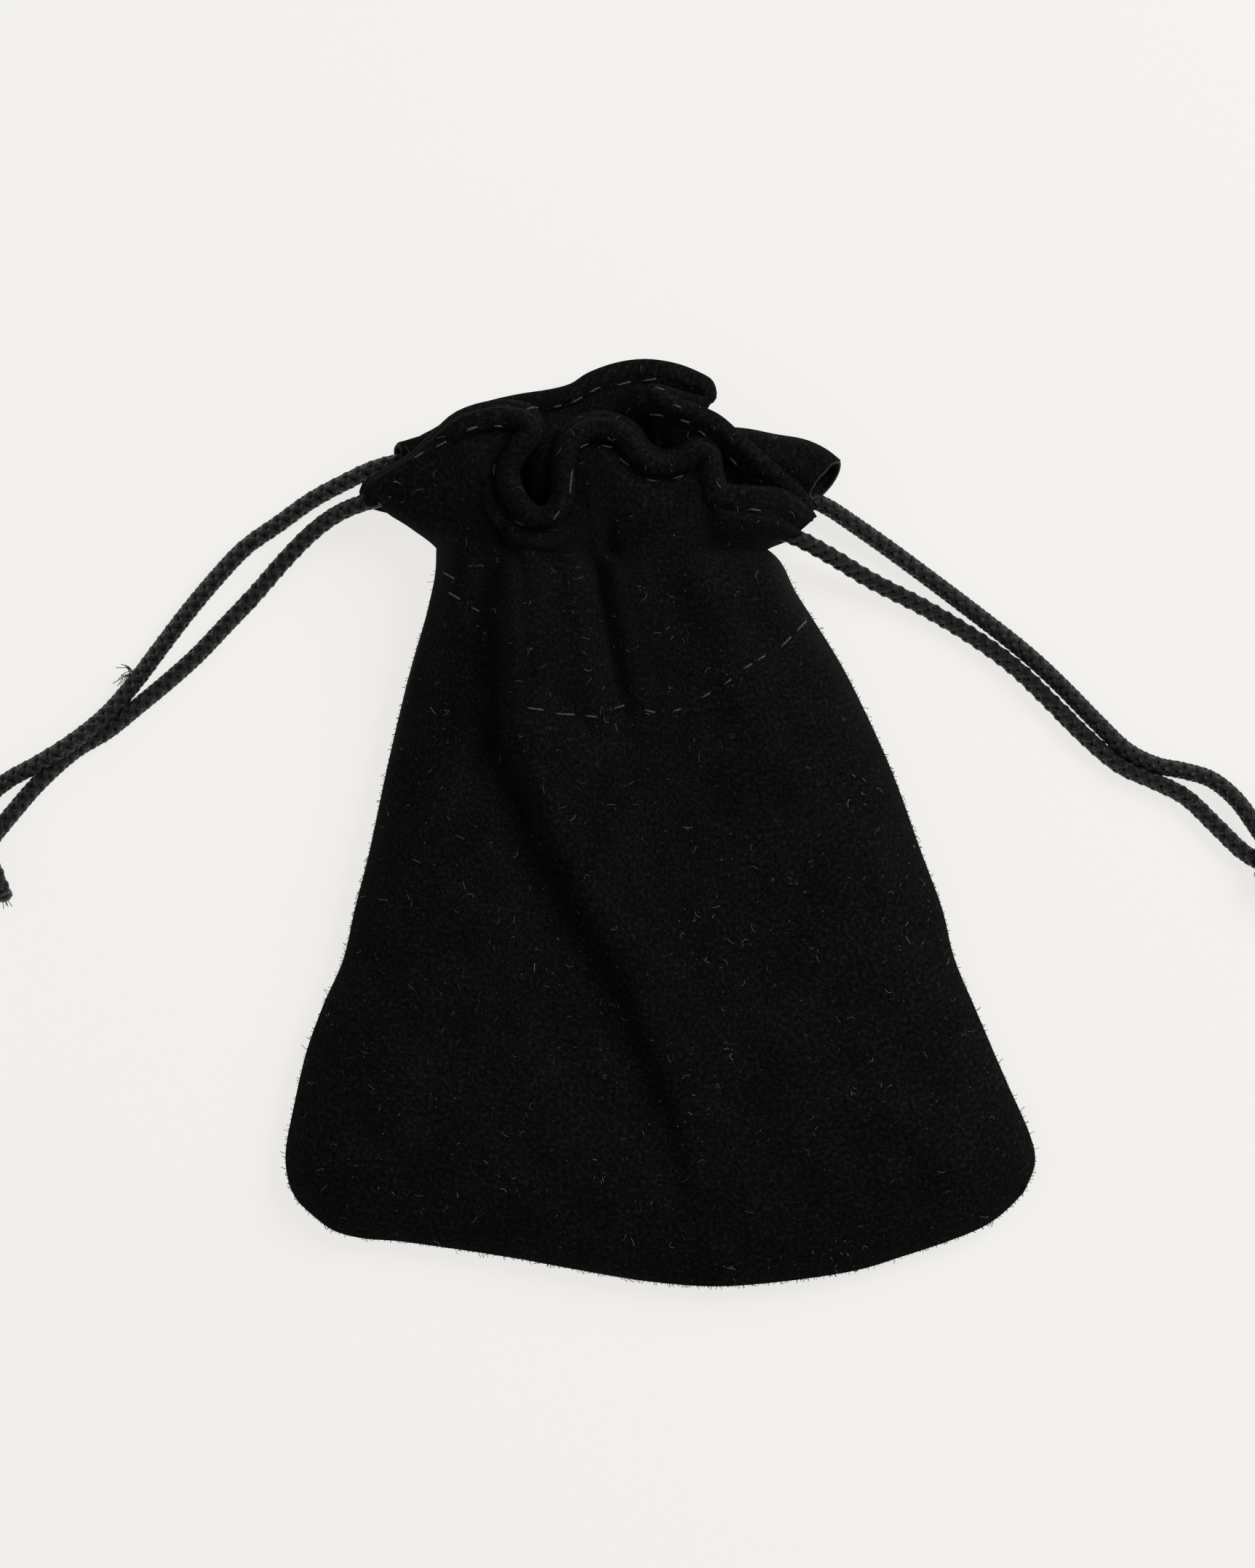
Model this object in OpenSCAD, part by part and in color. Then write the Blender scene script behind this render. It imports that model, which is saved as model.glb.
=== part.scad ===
// Small drawstring pouch of black velvet, lying flat with its mouth towards +Y.
// Frame: X across the bag, Y towards the mouth, Z up from the table.
// The origin is below the middle of the bag, on the table. Millimetres.

/* [Bag] */
// Width across the bottom corners
bag_w = 102; // [84:1:124]
// Length from the bottom edge to the crest of the back lip
bag_l = 126; // [104:1:152]
// Height of the body above the table, near the bottom edge
body_h = 12; // [10:0.5:14]
// Thickness of the velvet with its pile
velvet_t = 1; // [0.8:0.05:1.2]
// Radius of the bottom corners
corner_r = 9; // [5:0.5:14]
// How far the bottom edge bows down between the corners
bottom_bow = 8; // [4:0.5:10]
// Width of the rolled edge where the top cloth comes down to the seam
edge_roll = 15; // [10:0.5:18]

/* [Mouth] */
// Distance from the middle line to the left side of the neck
neck_left = 30; // [26:0.5:36]
// Distance from the middle line to the right side of the neck
neck_right = 14; // [13:0.5:20]
// Length of the gathered header above the neck
header_l = 27; // [25:0.5:33]
// How much lower the front lip lies than the back lip
front_drop = 9; // [8:0.5:11]
// Depth of the hem that is turned in to make the cord channel
hem_depth = 33; // [30:0.5:36]
// Free height between the front and back lips
mouth_gap = 5; // [4.5:0.25:7]
// Width of the middle of the header, which stays still when the mouth is gathered
header_w = 23; // [18:0.5:25]
// Distance from the middle line to the left tip of the mouth
left_tip = 39; // [36:0.5:44]
// Distance from the middle line to the right tip of the mouth
right_tip = 25; // [24:0.5:30]
// Width of each gathered end of the mouth
end_w = 12; // [11:0.5:13]

/* [Drawstrings] */
// Diameter of the braided satin cord
cord_d = 2.2; // [1.8:0.1:2.6]
// Clear space on each side of a cord in its channel
cord_clear = 0.4; // [0.3:0.05:0.6]
// Length of each short tail past its knot
tail_l = 11; // [8:0.5:14]

/* [Stitching] */
// Diameter of the sewing thread
thread_d = 0.5; // [0.4:0.05:0.7]
// Length of one stitch
stitch_l = 2.6; // [2:0.1:3]
// Distance from the start of one stitch to the start of the next
stitch_pitch = 4; // [3.4:0.1:5]
// Distance from the mouth's edge to its stitch row
edge_margin = 3.5; // [3:0.1:4.5]

/* [Hidden] */

velvet = [0.05, 0.05, 0.055];
velvet_inside = [0.08, 0.08, 0.085];
satin = [0.16, 0.16, 0.17];
thread = [0.35, 0.35, 0.36];

eps = 0.01;            // overlap that makes a cut run clean through
joint_gap = 0.1;       // gap between a pleat and what it meets
end_gap = 0.4;         // gap between the neck and the ends of the mouth
half_w = bag_w / 2;
crest_y = bag_l / 2;
low_y = -bag_l / 2;
neck_y = crest_y - header_l;
front_y = crest_y - front_drop;

// Layers of the header, from the table up
channel_h = cord_d + 2 * cord_clear;
back_channel_z = velvet_t;
back_inner_z = back_channel_z + channel_h;
mouth_z = back_inner_z + velvet_t;
front_inner_z = mouth_z + mouth_gap;
front_channel_z = front_inner_z + velvet_t;
front_outer_z = front_channel_z + channel_h;
header_h = front_outer_z + velvet_t;
back_cord_z = back_channel_z + channel_h / 2;
front_cord_z = front_channel_z + channel_h / 2;

// The still middle of the header lies between these two, nearer the left end
header_x0 = (right_tip - left_tip) / 2 - header_w / 2;
header_x1 = header_x0 + header_w;

// ---- Outline of the body ----
bow_x = 6.8;           // where the bottom edge reaches lowest
left_swell = 0.85;     // how straight each side runs, 1 being a straight line
right_swell = 0.72;
bow_power = 1.5;
corner_end = 18;       // angle at which a corner's arc runs into the bottom edge
side_steps = 9;
arc_steps = 5;
bow_steps = 5;         // on each side of the lowest point
least_r = 2;           // smallest corner that an inset outline keeps

function lerp(a, b, t) = a + (b - a) * t;

function side(neck, swell, inset, y_end, y_corner, sign) = [
    for (i = [0:side_steps - 1])
        let (s = i / side_steps)
        [sign * (lerp(neck, half_w, pow(s, swell)) - inset), lerp(y_end, y_corner, s)]
];

// The bottom edge from one corner at (x, y) to its lowest point, without either end
function bow(x, y, low) = [
    for (i = [1:bow_steps - 1])
        let (t = 1 - i / bow_steps)
        [lerp(bow_x, x, t), lerp(low, y, pow(t, bow_power))]
];

function corner(cx, cy, r, a0, a1) = [
    for (i = [0:arc_steps])
        let (a = lerp(a0, a1, i / arc_steps)) [cx + r * cos(a), cy + r * sin(a)]
];

// Points of the outline, drawn in by inset and open at y_end, going down the right side
function outline(inset, y_end) =
    let (
        r = max(corner_r - inset, least_r),
        cx = half_w - inset - r,
        cy = low_y + bottom_bow + inset + r,
        right = corner(cx, cy, r, 0, corner_end - 90),
        left = corner(-cx, cy, r, -90 - corner_end, -180),
        low = low_y + inset,
        left_bow = bow(left[0][0], left[0][1], low),
        left_side = side(neck_left, left_swell, inset, y_end, cy, -1)
    )
    concat(
        side(neck_right, right_swell, inset, y_end, cy, 1),
        right,
        bow(right[arc_steps][0], right[arc_steps][1], low),
        [[bow_x, low]],
        [for (i = [bow_steps - 2:-1:0]) left_bow[i]],
        left,
        [for (i = [side_steps - 1:-1:0]) left_side[i]]
    );

// ---- The puffed top cloth ----
rim_z = velvet_t + thread_d;
roll_steps = 5;
flat_y = low_y + edge_roll;
// Height of the top surface, which rises in one plane from the bottom edge to the neck
function top_z(y) = lerp(body_h, header_h, (y - flat_y) / (neck_y - flat_y));
top_slope = atan((header_h - body_h) / (neck_y - flat_y));

module puffed_solid(inset, z_low, y_end) {
    rings = [
        for (k = [0:roll_steps])
            let (a = 90 * k / roll_steps, in = inset + (edge_roll - inset) * (1 - cos(a)))
            [for (p = outline(in, y_end)) [p[0], p[1], lerp(z_low, top_z(p[1]) - inset, sin(a))]]
    ];
    n = len(rings[0]);
    walls = [
        for (k = [0:roll_steps - 1], i = [0:n - 1])
            let (j = (i + 1) % n)
            each [
                [k * n + i, k * n + j, (k + 1) * n + j],
                [k * n + i, (k + 1) * n + j, (k + 1) * n + i]
            ]
    ];
    low_cap = [for (i = [n - 1:-1:0]) i];
    high_cap = [for (i = [0:n - 1]) roll_steps * n + i];
    polyhedron([for (ring = rings) each ring], concat([low_cap], walls, [high_cap]));
}

module front_panel() {
    color(velvet) union() {
        difference() {
            puffed_solid(0, rim_z, neck_y);
            puffed_solid(velvet_t, rim_z - velvet_t, neck_y + velvet_t);
        }
        translate([header_x0, neck_y - velvet_t, front_outer_z])
            cube([header_w, front_y - neck_y + velvet_t, velvet_t]);
    }
}

module back_panel() {
    body = outline(0, neck_y);
    header = [
        [header_x0, neck_y], [header_x0, crest_y], [header_x1, crest_y], [header_x1, neck_y]
    ];
    color(velvet) linear_extrude(velvet_t) polygon(concat(body, header));
}

// The seam thread follows the sides and the bottom, between the two panels
module seam_thread() {
    seam_in = (velvet_t - thread_d) / 2;
    outer = outline(seam_in, neck_y - end_gap);
    inner = outline(seam_in + thread_d, neck_y - end_gap);
    n = len(inner);
    color(thread) translate([0, 0, velvet_t]) linear_extrude(thread_d)
        polygon(concat(outer, [for (i = [n - 1:-1:0]) inner[i]]));
}

// ---- Turned-in hems, as profiles in Y and Z extruded across the header ----
hem_land = 3;          // flat strip at the hem's lower edge, where it is sewn down

module across(x0, x1, profile) {
    translate([x0, 0, 0]) rotate([90, 0, 90]) linear_extrude(x1 - x0) polygon(profile);
}

module back_hem() {
    hem_y = crest_y - hem_depth;
    color(velvet_inside) across(header_x0, header_x1, [
        [crest_y, velvet_t], [crest_y, mouth_z], [neck_y + hem_land, mouth_z],
        [hem_y + hem_land, 2 * velvet_t], [hem_y, 2 * velvet_t], [hem_y, velvet_t],
        [hem_y + hem_land + velvet_t, velvet_t], [neck_y + hem_land, back_inner_z],
        [crest_y - velvet_t, back_inner_z], [crest_y - velvet_t, velvet_t]
    ]);
}

module front_hem() {
    hem_y = front_y - hem_depth;
    // The lower edge hangs just under the top cloth, to which it is stitched
    edge_z = top_z(hem_y) - 2 * velvet_t - thread_d;
    color(velvet_inside) across(header_x0, header_x1, [
        [front_y, front_outer_z], [front_y, front_inner_z], [neck_y, front_inner_z],
        [hem_y, edge_z - velvet_t], [hem_y, edge_z], [neck_y, front_channel_z],
        [front_y - velvet_t, front_channel_z], [front_y - velvet_t, front_outer_z]
    ]);
}

// ---- Stitch rows ----
// One row of short stitches along X, each a half-sunk round thread made flat underneath
module stitch_row(x0, x1) {
    count = floor((x1 - x0 - stitch_l) / stitch_pitch) + 1;
    start = (x0 + x1 - (count - 1) * stitch_pitch - stitch_l) / 2;
    color(thread) for (i = [0:count - 1])
        translate([start + i * stitch_pitch, -thread_d / 2, 0])
            cube([stitch_l, thread_d, thread_d / 2]);
}

module back_edge_stitches() {
    translate([0, crest_y - edge_margin, mouth_z]) stitch_row(header_x0, header_x1);
}

module front_edge_stitches() {
    translate([0, front_y - edge_margin, header_h]) stitch_row(header_x0, header_x1);
}

module back_hem_stitches() {
    translate([0, crest_y - hem_depth + hem_land / 2, 2 * velvet_t])
        stitch_row(header_x0, header_x1);
}

module front_hem_stitches() {
    row_y = front_y - hem_depth + hem_land / 2;
    translate([0, row_y, top_z(row_y)]) rotate([top_slope, 0, 0])
        stitch_row(header_x0, header_x1);
}

// ---- Pleats between the still middle of the header and its gathered ends ----
folds = 3;

// A zigzag ribbon of cloth in X and Z, standing out by rise, extruded along Y
module pleats(x0, x1, y0, y1, z0, rise) {
    step = (x1 - x0) / (2 * folds);
    low = [for (i = [0:2 * folds]) [x0 + i * step, z0 + (i % 2) * rise]];
    high = [for (i = [2 * folds:-1:0]) [x0 + i * step, z0 + velvet_t + (i % 2) * rise]];
    color(velvet) translate([0, y1, 0]) rotate([90, 0, 0])
        linear_extrude(y1 - y0) polygon(concat(low, high));
}

pleat_back_rise = cord_clear / 2;
pleat_front_rise = 0.8;
lip_fall = 4;          // how much the lips come down from their middle to the pleats
left_x0 = -left_tip + end_w + joint_gap;
left_x1 = header_x0 - joint_gap;
right_x0 = header_x1 + joint_gap;
right_x1 = right_tip - end_w - joint_gap;

module back_pleats_left() {
    pleats(left_x0, left_x1, neck_y, crest_y - lip_fall, 0, pleat_back_rise);
}

module back_pleats_right() {
    pleats(right_x0, right_x1, neck_y, crest_y - lip_fall, 0, pleat_back_rise);
}

module front_pleats_left() {
    pleats(left_x0, left_x1, neck_y, front_y - lip_fall, front_outer_z, pleat_front_rise);
}

module front_pleats_right() {
    pleats(right_x0, right_x1, neck_y, front_y - lip_fall, front_outer_z, pleat_front_rise);
}

// ---- Gathered ends of the mouth ----
end_low_z = 0.3;       // the ends slide just clear of the table
end_round = 5;
end_arc_steps = 6;
end_l = 15;            // length of each end along Y

function end_arc(cx, cz, r, a0) = [
    for (i = [0:end_arc_steps])
        let (a = a0 - 90 * i / end_arc_steps) [cx + r * cos(a), cz + r * sin(a)]
];

// A sideways U of cloth, closed towards -X, where front and back meet at the side seam
module mouth_end(tip, exits) {
    cx = -tip + end_round;
    r_in = end_round - velvet_t;
    z1 = header_h;
    open_x = -tip + end_w;
    profile = concat(
        [[open_x, end_low_z]],
        end_arc(cx, end_low_z + end_round, end_round, 270),
        end_arc(cx, z1 - end_round, end_round, 180),
        [[open_x, z1], [open_x, z1 - velvet_t]],
        [for (i = [end_arc_steps:-1:0]) end_arc(cx, z1 - end_round, r_in, 180)[i]],
        [for (i = [end_arc_steps:-1:0]) end_arc(cx, end_low_z + end_round, r_in, 270)[i]],
        [[open_x, end_low_z + velvet_t]]
    );
    exit_r = cord_d / 2 + cord_clear + velvet_t / 4;
    difference() {
        translate([0, neck_y + end_gap + end_l, 0]) rotate([90, 0, 0])
            linear_extrude(end_l) polygon(profile);
        for (e = exits)
            translate([-tip - eps, e[0], e[1]]) rotate([0, 90, 0])
                cylinder(r = exit_r, h = end_round, $fn = 32);
    }
}

// The routes of the strands are drawn for this mouth and this cord, and follow them when they change
drawn_neck_y = 36;
drawn_left_tip = 39;
drawn_right_tip = 25;
drawn_lie = 1.2;
drawn_back_z = 2.5;
drawn_front_z = 12.5;
lie = cord_d / 2 + 0.1; // height of a cord's middle where it lies on the table

// The height that a drawn height becomes, for a strand whose channel was drawn at drawn_z
function height(z, drawn_z, z_new) =
    lerp(lie, z_new, (z - drawn_lie) / (drawn_z - drawn_lie));

// Where each strand leaves the ends of the mouth, as Y and Z
mouth_up = neck_y - drawn_neck_y;
left_upper_exit = [mouth_up + 47.8, height(2.9, drawn_back_z, back_cord_z)];
left_lower_exit = [mouth_up + 43.6, height(9, drawn_front_z, front_cord_z)];
right_upper_exit = [mouth_up + 42.2, height(2.7, drawn_back_z, back_cord_z)];

module mouth_end_left() {
    color(velvet) mouth_end(left_tip, [left_upper_exit, left_lower_exit]);
}

// The right lower strand leaves by the open side of this end, so it has one exit hole
module mouth_end_right() {
    color(velvet) mirror([1, 0, 0]) mouth_end(right_tip, [right_upper_exit]);
}

// ---- Drawstrings ----
left_loop_y = neck_y + 11;
right_loop_y = neck_y + 5.5;
loop_r = (front_cord_z - back_cord_z) / 2;
left_loop_x0 = header_x0 + 1.5;
left_loop_x1 = right_tip - 11;
right_loop_x0 = header_x1 - 1.5;
right_loop_x1 = 11 - left_tip;

// Two straight runs along the channels, joined by a half turn at the far end of the mouth
module cord_loop(x0, x1, y) {
    way = x1 > x0 ? 1 : -1;
    color(satin) translate([0, y, 0]) union() {
        for (z = [back_cord_z, front_cord_z])
            translate([min(x0, x1), 0, z]) rotate([0, 90, 0])
                cylinder(d = cord_d, h = abs(x1 - x0), $fn = 24);
        translate([x1, 0, back_cord_z + loop_r]) rotate([90, 0, 0])
            rotate([0, 0, way > 0 ? -90 : 90])
                rotate_extrude(angle = 180, $fn = 32)
                    translate([loop_r, 0]) circle(d = cord_d, $fn = 24);
    }
}

module left_cord_loop() { cord_loop(left_loop_x0, left_loop_x1, left_loop_y); }
module right_cord_loop() { cord_loop(right_loop_x0, right_loop_x1, right_loop_y); }

// Routes of the free strands as drawn, from the end of each run in the channel to the knot
left_upper_drawn = [
    [-17, 47, 2.5], [-22, 47.1, 2.5], [-28, 47.6, 2.6],
    [-33.5, 48.1, 2.8], [-38.5, 47.7, 2.9], [-43, 46.2, 2.4], [-47.5, 43.7, 1.6],
    [-52, 40, 1.2], [-56.5, 36.6, 1.2], [-60.5, 32.8, 1.2], [-64.5, 28.2, 1.2],
    [-68.3, 23.2, 1.2], [-72, 18.7, 1.2], [-76, 14.3, 1.2], [-80.5, 11.2, 1.2],
    [-85.5, 8.2, 1.2], [-90, 4.6, 2], [-92.6, 0.2, 3.4]
];
left_lower_drawn = [
    [-17, 47, 12.5], [-22, 46.9, 12.5], [-28, 46, 11.9],
    [-33.5, 44.8, 10.5], [-38.7, 43.6, 9], [-43.2, 41.7, 6.4], [-47, 39.6, 3.8],
    [-51, 36.3, 2], [-55.4, 31.8, 1.2], [-59.2, 27.9, 1.2], [-63, 23.6, 1.2],
    [-67, 19.6, 1.2], [-71, 15.6, 1.2], [-75.2, 11.5, 1.2], [-79.5, 8.3, 1.2],
    [-84, 5.4, 1.2], [-88, 1.8, 1.2], [-91, -2, 1.4]
];
right_upper_drawn = [
    [3, 41.5, 2.5], [9, 41.7, 2.5], [15, 42.3, 2.6],
    [20, 42.9, 2.7], [24.5, 42.2, 2.7], [29, 39.2, 1.9], [34.1, 35.7, 1.2],
    [39.4, 31.8, 1.2], [44.6, 27.9, 1.2], [49.6, 23.9, 1.2], [53.6, 20, 1.2],
    [57.4, 16, 1.2], [61, 12.3, 1.2], [65, 10, 1.2], [70.2, 8.2, 1.2],
    [75, 6.4, 1.2], [79.6, 2.6, 1.8], [82.8, -2.8, 3.2]
];
right_lower_drawn = [
    [3, 41.5, 12.5], [9, 41.5, 12.3], [13.5, 41.2, 11.3],
    [17, 39.6, 9], [20, 37, 6.6], [23.8, 34.9, 4.1], [29.2, 32.4, 2],
    [34.9, 29.6, 1.2], [41.9, 25.6, 1.2], [47.5, 21.6, 1.2], [52.1, 17.6, 1.2],
    [55.6, 13.6, 1.2], [59, 9.8, 1.2], [63.6, 7, 1.2], [68.6, 4.9, 1.2],
    [73.3, 2, 1.2], [77.5, -1.4, 1.2], [81.6, -4.6, 1.8]
];

// The first points of each route move with the mouth, and the rest come back by degrees to the
// knot, which stays where it is
mouth_points = 7;

function follow(i, last) = i < mouth_points ? 1 : (last - i) / (last - mouth_points + 1);

// A drawn route in place, with its first point at the end of its run, [x, y, z]
function laid(route, shift, drawn_z, start) =
    let (last = len(route) - 1)
    concat([start], [
        for (i = [1:last])
            route[i] + follow(i, last) * [shift, mouth_up, 0]
            + [0, 0, height(route[i][2], drawn_z, start[2]) - route[i][2]]
    ]);

left_shift = drawn_left_tip - left_tip;
right_shift = right_tip - drawn_right_tip;
left_upper_route = laid(left_upper_drawn, left_shift, drawn_back_z,
    [left_loop_x0, left_loop_y, back_cord_z]);
left_lower_route = laid(left_lower_drawn, left_shift, drawn_front_z,
    [left_loop_x0, left_loop_y, front_cord_z]);
right_upper_route = laid(right_upper_drawn, right_shift, drawn_back_z,
    [right_loop_x0, right_loop_y, back_cord_z]);
right_lower_route = laid(right_lower_drawn, right_shift, drawn_front_z,
    [right_loop_x0, right_loop_y, front_cord_z]);
tube_sides = 8;

function unit(v) = v / norm(v);
function heading(route, i) =
    unit(route[min(i + 1, len(route) - 1)] - route[max(i - 1, 0)]);

// A tube of cord_d along a route, as one closed polyhedron
module tube(route) {
    m = len(route);
    points = [
        for (i = [0:m - 1])
            let (
                t = i == 0 ? [sign(route[1][0] - route[0][0]), 0, 0] : heading(route, i),
                s = unit(cross([0, 0, 1], t)),
                u = cross(t, s)
            )
            for (k = [0:tube_sides - 1])
                let (a = 360 * k / tube_sides)
                route[i] + cord_d / 2 * (cos(a) * s + sin(a) * u)
    ];
    faces = [
        for (i = [0:m - 2], k = [0:tube_sides - 1])
            let (
                j = (k + 1) % tube_sides,
                a = i * tube_sides + k,
                b = i * tube_sides + j
            )
            each [[a, b, b + tube_sides], [a, b + tube_sides, a + tube_sides]]
    ];
    start_cap = [for (k = [tube_sides - 1:-1:0]) k];
    end_cap = [for (k = [0:tube_sides - 1]) (m - 1) * tube_sides + k];
    color(satin) polyhedron(points, concat([start_cap], faces, [end_cap]));
}

module left_cord_upper() { tube(left_upper_route); }
module left_cord_lower() { tube(left_lower_route); }
module right_cord_upper() { tube(right_upper_route); }
module right_cord_lower() { tube(right_lower_route); }

// ---- Knots ----
left_knot_at = [-93, -3];
right_knot_at = [84, -6.5];
knot_long = 3.6 * cord_d;
knot_wide = 2.9 * cord_d;
knot_high = 2.3 * cord_d;
knot_fn = 16;

// An overhand knot in both strands, drawn up tight, with two short tails
module knot(at, turn, tail_turns) {
    color(satin) translate([at[0], at[1], 0]) rotate([0, 0, turn]) union() {
        hull() {
            for (s = [-1, 1])
                translate([s * (knot_long - knot_wide) / 2, 0, knot_high / 2])
                    scale([knot_wide, knot_wide, knot_high] / 2) sphere(r = 1, $fn = knot_fn);
        }
        for (a = tail_turns)
            rotate([0, 0, a]) translate([0, 0, cord_d / 2])
                rotate([0, 90, 0]) cylinder(d = cord_d, h = tail_l, $fn = 16);
    }
}

module left_knot() { knot(left_knot_at, -100, [-16, 22]); }
module right_knot() { knot(right_knot_at, -56, [-20, 18]); }

back_panel();
front_panel();
back_hem();
front_hem();
seam_thread();
back_edge_stitches();
front_edge_stitches();
back_hem_stitches();
front_hem_stitches();
back_pleats_left();
back_pleats_right();
front_pleats_left();
front_pleats_right();
mouth_end_left();
mouth_end_right();
left_cord_loop();
left_cord_upper();
left_cord_lower();
left_knot();
right_cord_loop();
right_cord_upper();
right_cord_lower();
right_knot();
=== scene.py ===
"""Looks of a small black velvet pouch with two braided drawstrings, lying flat on a pale floor.

Sizes in the tables below are in millimetres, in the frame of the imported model; mm() turns them
into metres. X runs across the pouch, Y towards its mouth and Z up from the floor.
"""

import math
import random

import bmesh
import bpy
import numpy as np
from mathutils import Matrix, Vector
from mathutils.bvhtree import BVHTree


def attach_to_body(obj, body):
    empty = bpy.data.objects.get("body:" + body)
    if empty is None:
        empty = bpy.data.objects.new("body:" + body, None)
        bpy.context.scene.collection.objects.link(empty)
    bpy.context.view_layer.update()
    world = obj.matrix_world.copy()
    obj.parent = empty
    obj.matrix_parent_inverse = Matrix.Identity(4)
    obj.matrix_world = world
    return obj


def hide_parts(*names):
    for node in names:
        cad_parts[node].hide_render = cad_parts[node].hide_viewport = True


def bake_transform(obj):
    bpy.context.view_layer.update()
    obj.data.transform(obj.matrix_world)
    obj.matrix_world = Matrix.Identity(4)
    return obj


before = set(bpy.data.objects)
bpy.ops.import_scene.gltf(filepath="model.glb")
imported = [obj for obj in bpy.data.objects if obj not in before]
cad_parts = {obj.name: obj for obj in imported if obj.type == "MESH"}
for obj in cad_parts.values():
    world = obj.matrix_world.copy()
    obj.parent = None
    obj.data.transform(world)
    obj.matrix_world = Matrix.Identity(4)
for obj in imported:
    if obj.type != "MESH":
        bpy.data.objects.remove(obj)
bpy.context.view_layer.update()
MM = 0.001
rng = random.Random(7)


def mm(values):
    """Millimetres to metres, for a number, a point or a list of points."""
    return np.asarray(values, float) * MM


# ---- Curves ----
def spline(points, count):
    """Catmull-Rom curve through points, at count even steps of its parameter."""
    p = np.asarray(points, float)
    t = np.linspace(0, len(p) - 1, count)
    i = np.minimum(t.astype(int), len(p) - 2)
    f = (t - i).reshape((-1,) + (1,) * (p.ndim - 1))
    before = p[np.maximum(i - 1, 0)]
    here = p[i]
    there = p[i + 1]
    after = p[np.minimum(i + 2, len(p) - 1)]
    return 0.5 * (
        2 * here
        + (there - before) * f
        + (2 * before - 5 * here + 4 * there - after) * f**2
        + (3 * here - before - 3 * there + after) * f**3
    )


def lengths(line):
    """Distance along a line at each of its points."""
    steps = np.linalg.norm(np.diff(line, axis=0), axis=1)
    return np.concatenate([[0], np.cumsum(steps)])


def even(points, count):
    """The curve through points again, with count points at even distances."""
    fine = spline(points, 40 * len(points))
    along = lengths(fine)
    at = np.linspace(0, along[-1], count)
    return np.stack([np.interp(at, along, fine[:, k]) for k in range(fine.shape[1])], axis=1)


def smooth(x):
    x = np.clip(x, 0, 1)
    return x * x * (3 - 2 * x)


def bell(x, width):
    return np.exp(-((x / width) ** 2))


def unit(v):
    return v / np.maximum(np.linalg.norm(v, axis=-1, keepdims=True), 1e-12)


def line_distance(points, line):
    """Distance of 2D points from a line, + on its right as drawn, and how far along it they are."""
    best = np.full(len(points), np.inf)
    side = np.ones(len(points))
    along = np.zeros(len(points))
    for k, (a, b) in enumerate(zip(line[:-1], line[1:])):
        d = b - a
        t = np.clip(((points - a) @ d) / (d @ d), 0, 1)
        away = points - a - t[:, None] * d
        far = np.linalg.norm(away, axis=1)
        nearer = far < best
        best = np.where(nearer, far, best)
        cross = d[0] * (points[:, 1] - a[1]) - d[1] * (points[:, 0] - a[0])
        side = np.where(nearer, np.where(cross > 0, -1, 1), side)
        along = np.where(nearer, (k + t) / (len(line) - 1), along)
    return best * side, along


def ripples(points, size, seed):
    """Soft random undulation between about -1 and 1, at the size given, of 2D points."""
    draw = random.Random(seed)
    total = np.zeros(len(points))
    waves = 9
    for _ in range(waves):
        angle = draw.uniform(0, 2 * math.pi)
        wave = 2 * math.pi / (size * draw.uniform(0.7, 1.6))
        phase = draw.uniform(0, 2 * math.pi)
        direction = np.array([math.cos(angle), math.sin(angle)])
        total += np.sin(points @ direction * wave + phase)
    return total / math.sqrt(waves)


# ---- Camera ----
view_h = 212.6           # height of what the camera sees, at the height of the cloth
view_x = -4.5
view_y = 5.4
view_z = 6.0
camera_height = 1100.0
sensor = 24.0

camera_data = bpy.data.cameras.new("camera")
camera_data.sensor_fit = "VERTICAL"
camera_data.sensor_height = sensor
camera_data.lens = sensor * camera_height / view_h
camera_data.clip_end = 10
camera = bpy.data.objects.new("camera", camera_data)
camera.location = mm([view_x, view_y, view_z + camera_height])
bpy.context.scene.collection.objects.link(camera)
bpy.context.scene.camera = camera
bpy.context.scene.view_settings.view_transform = "Standard"


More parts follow.
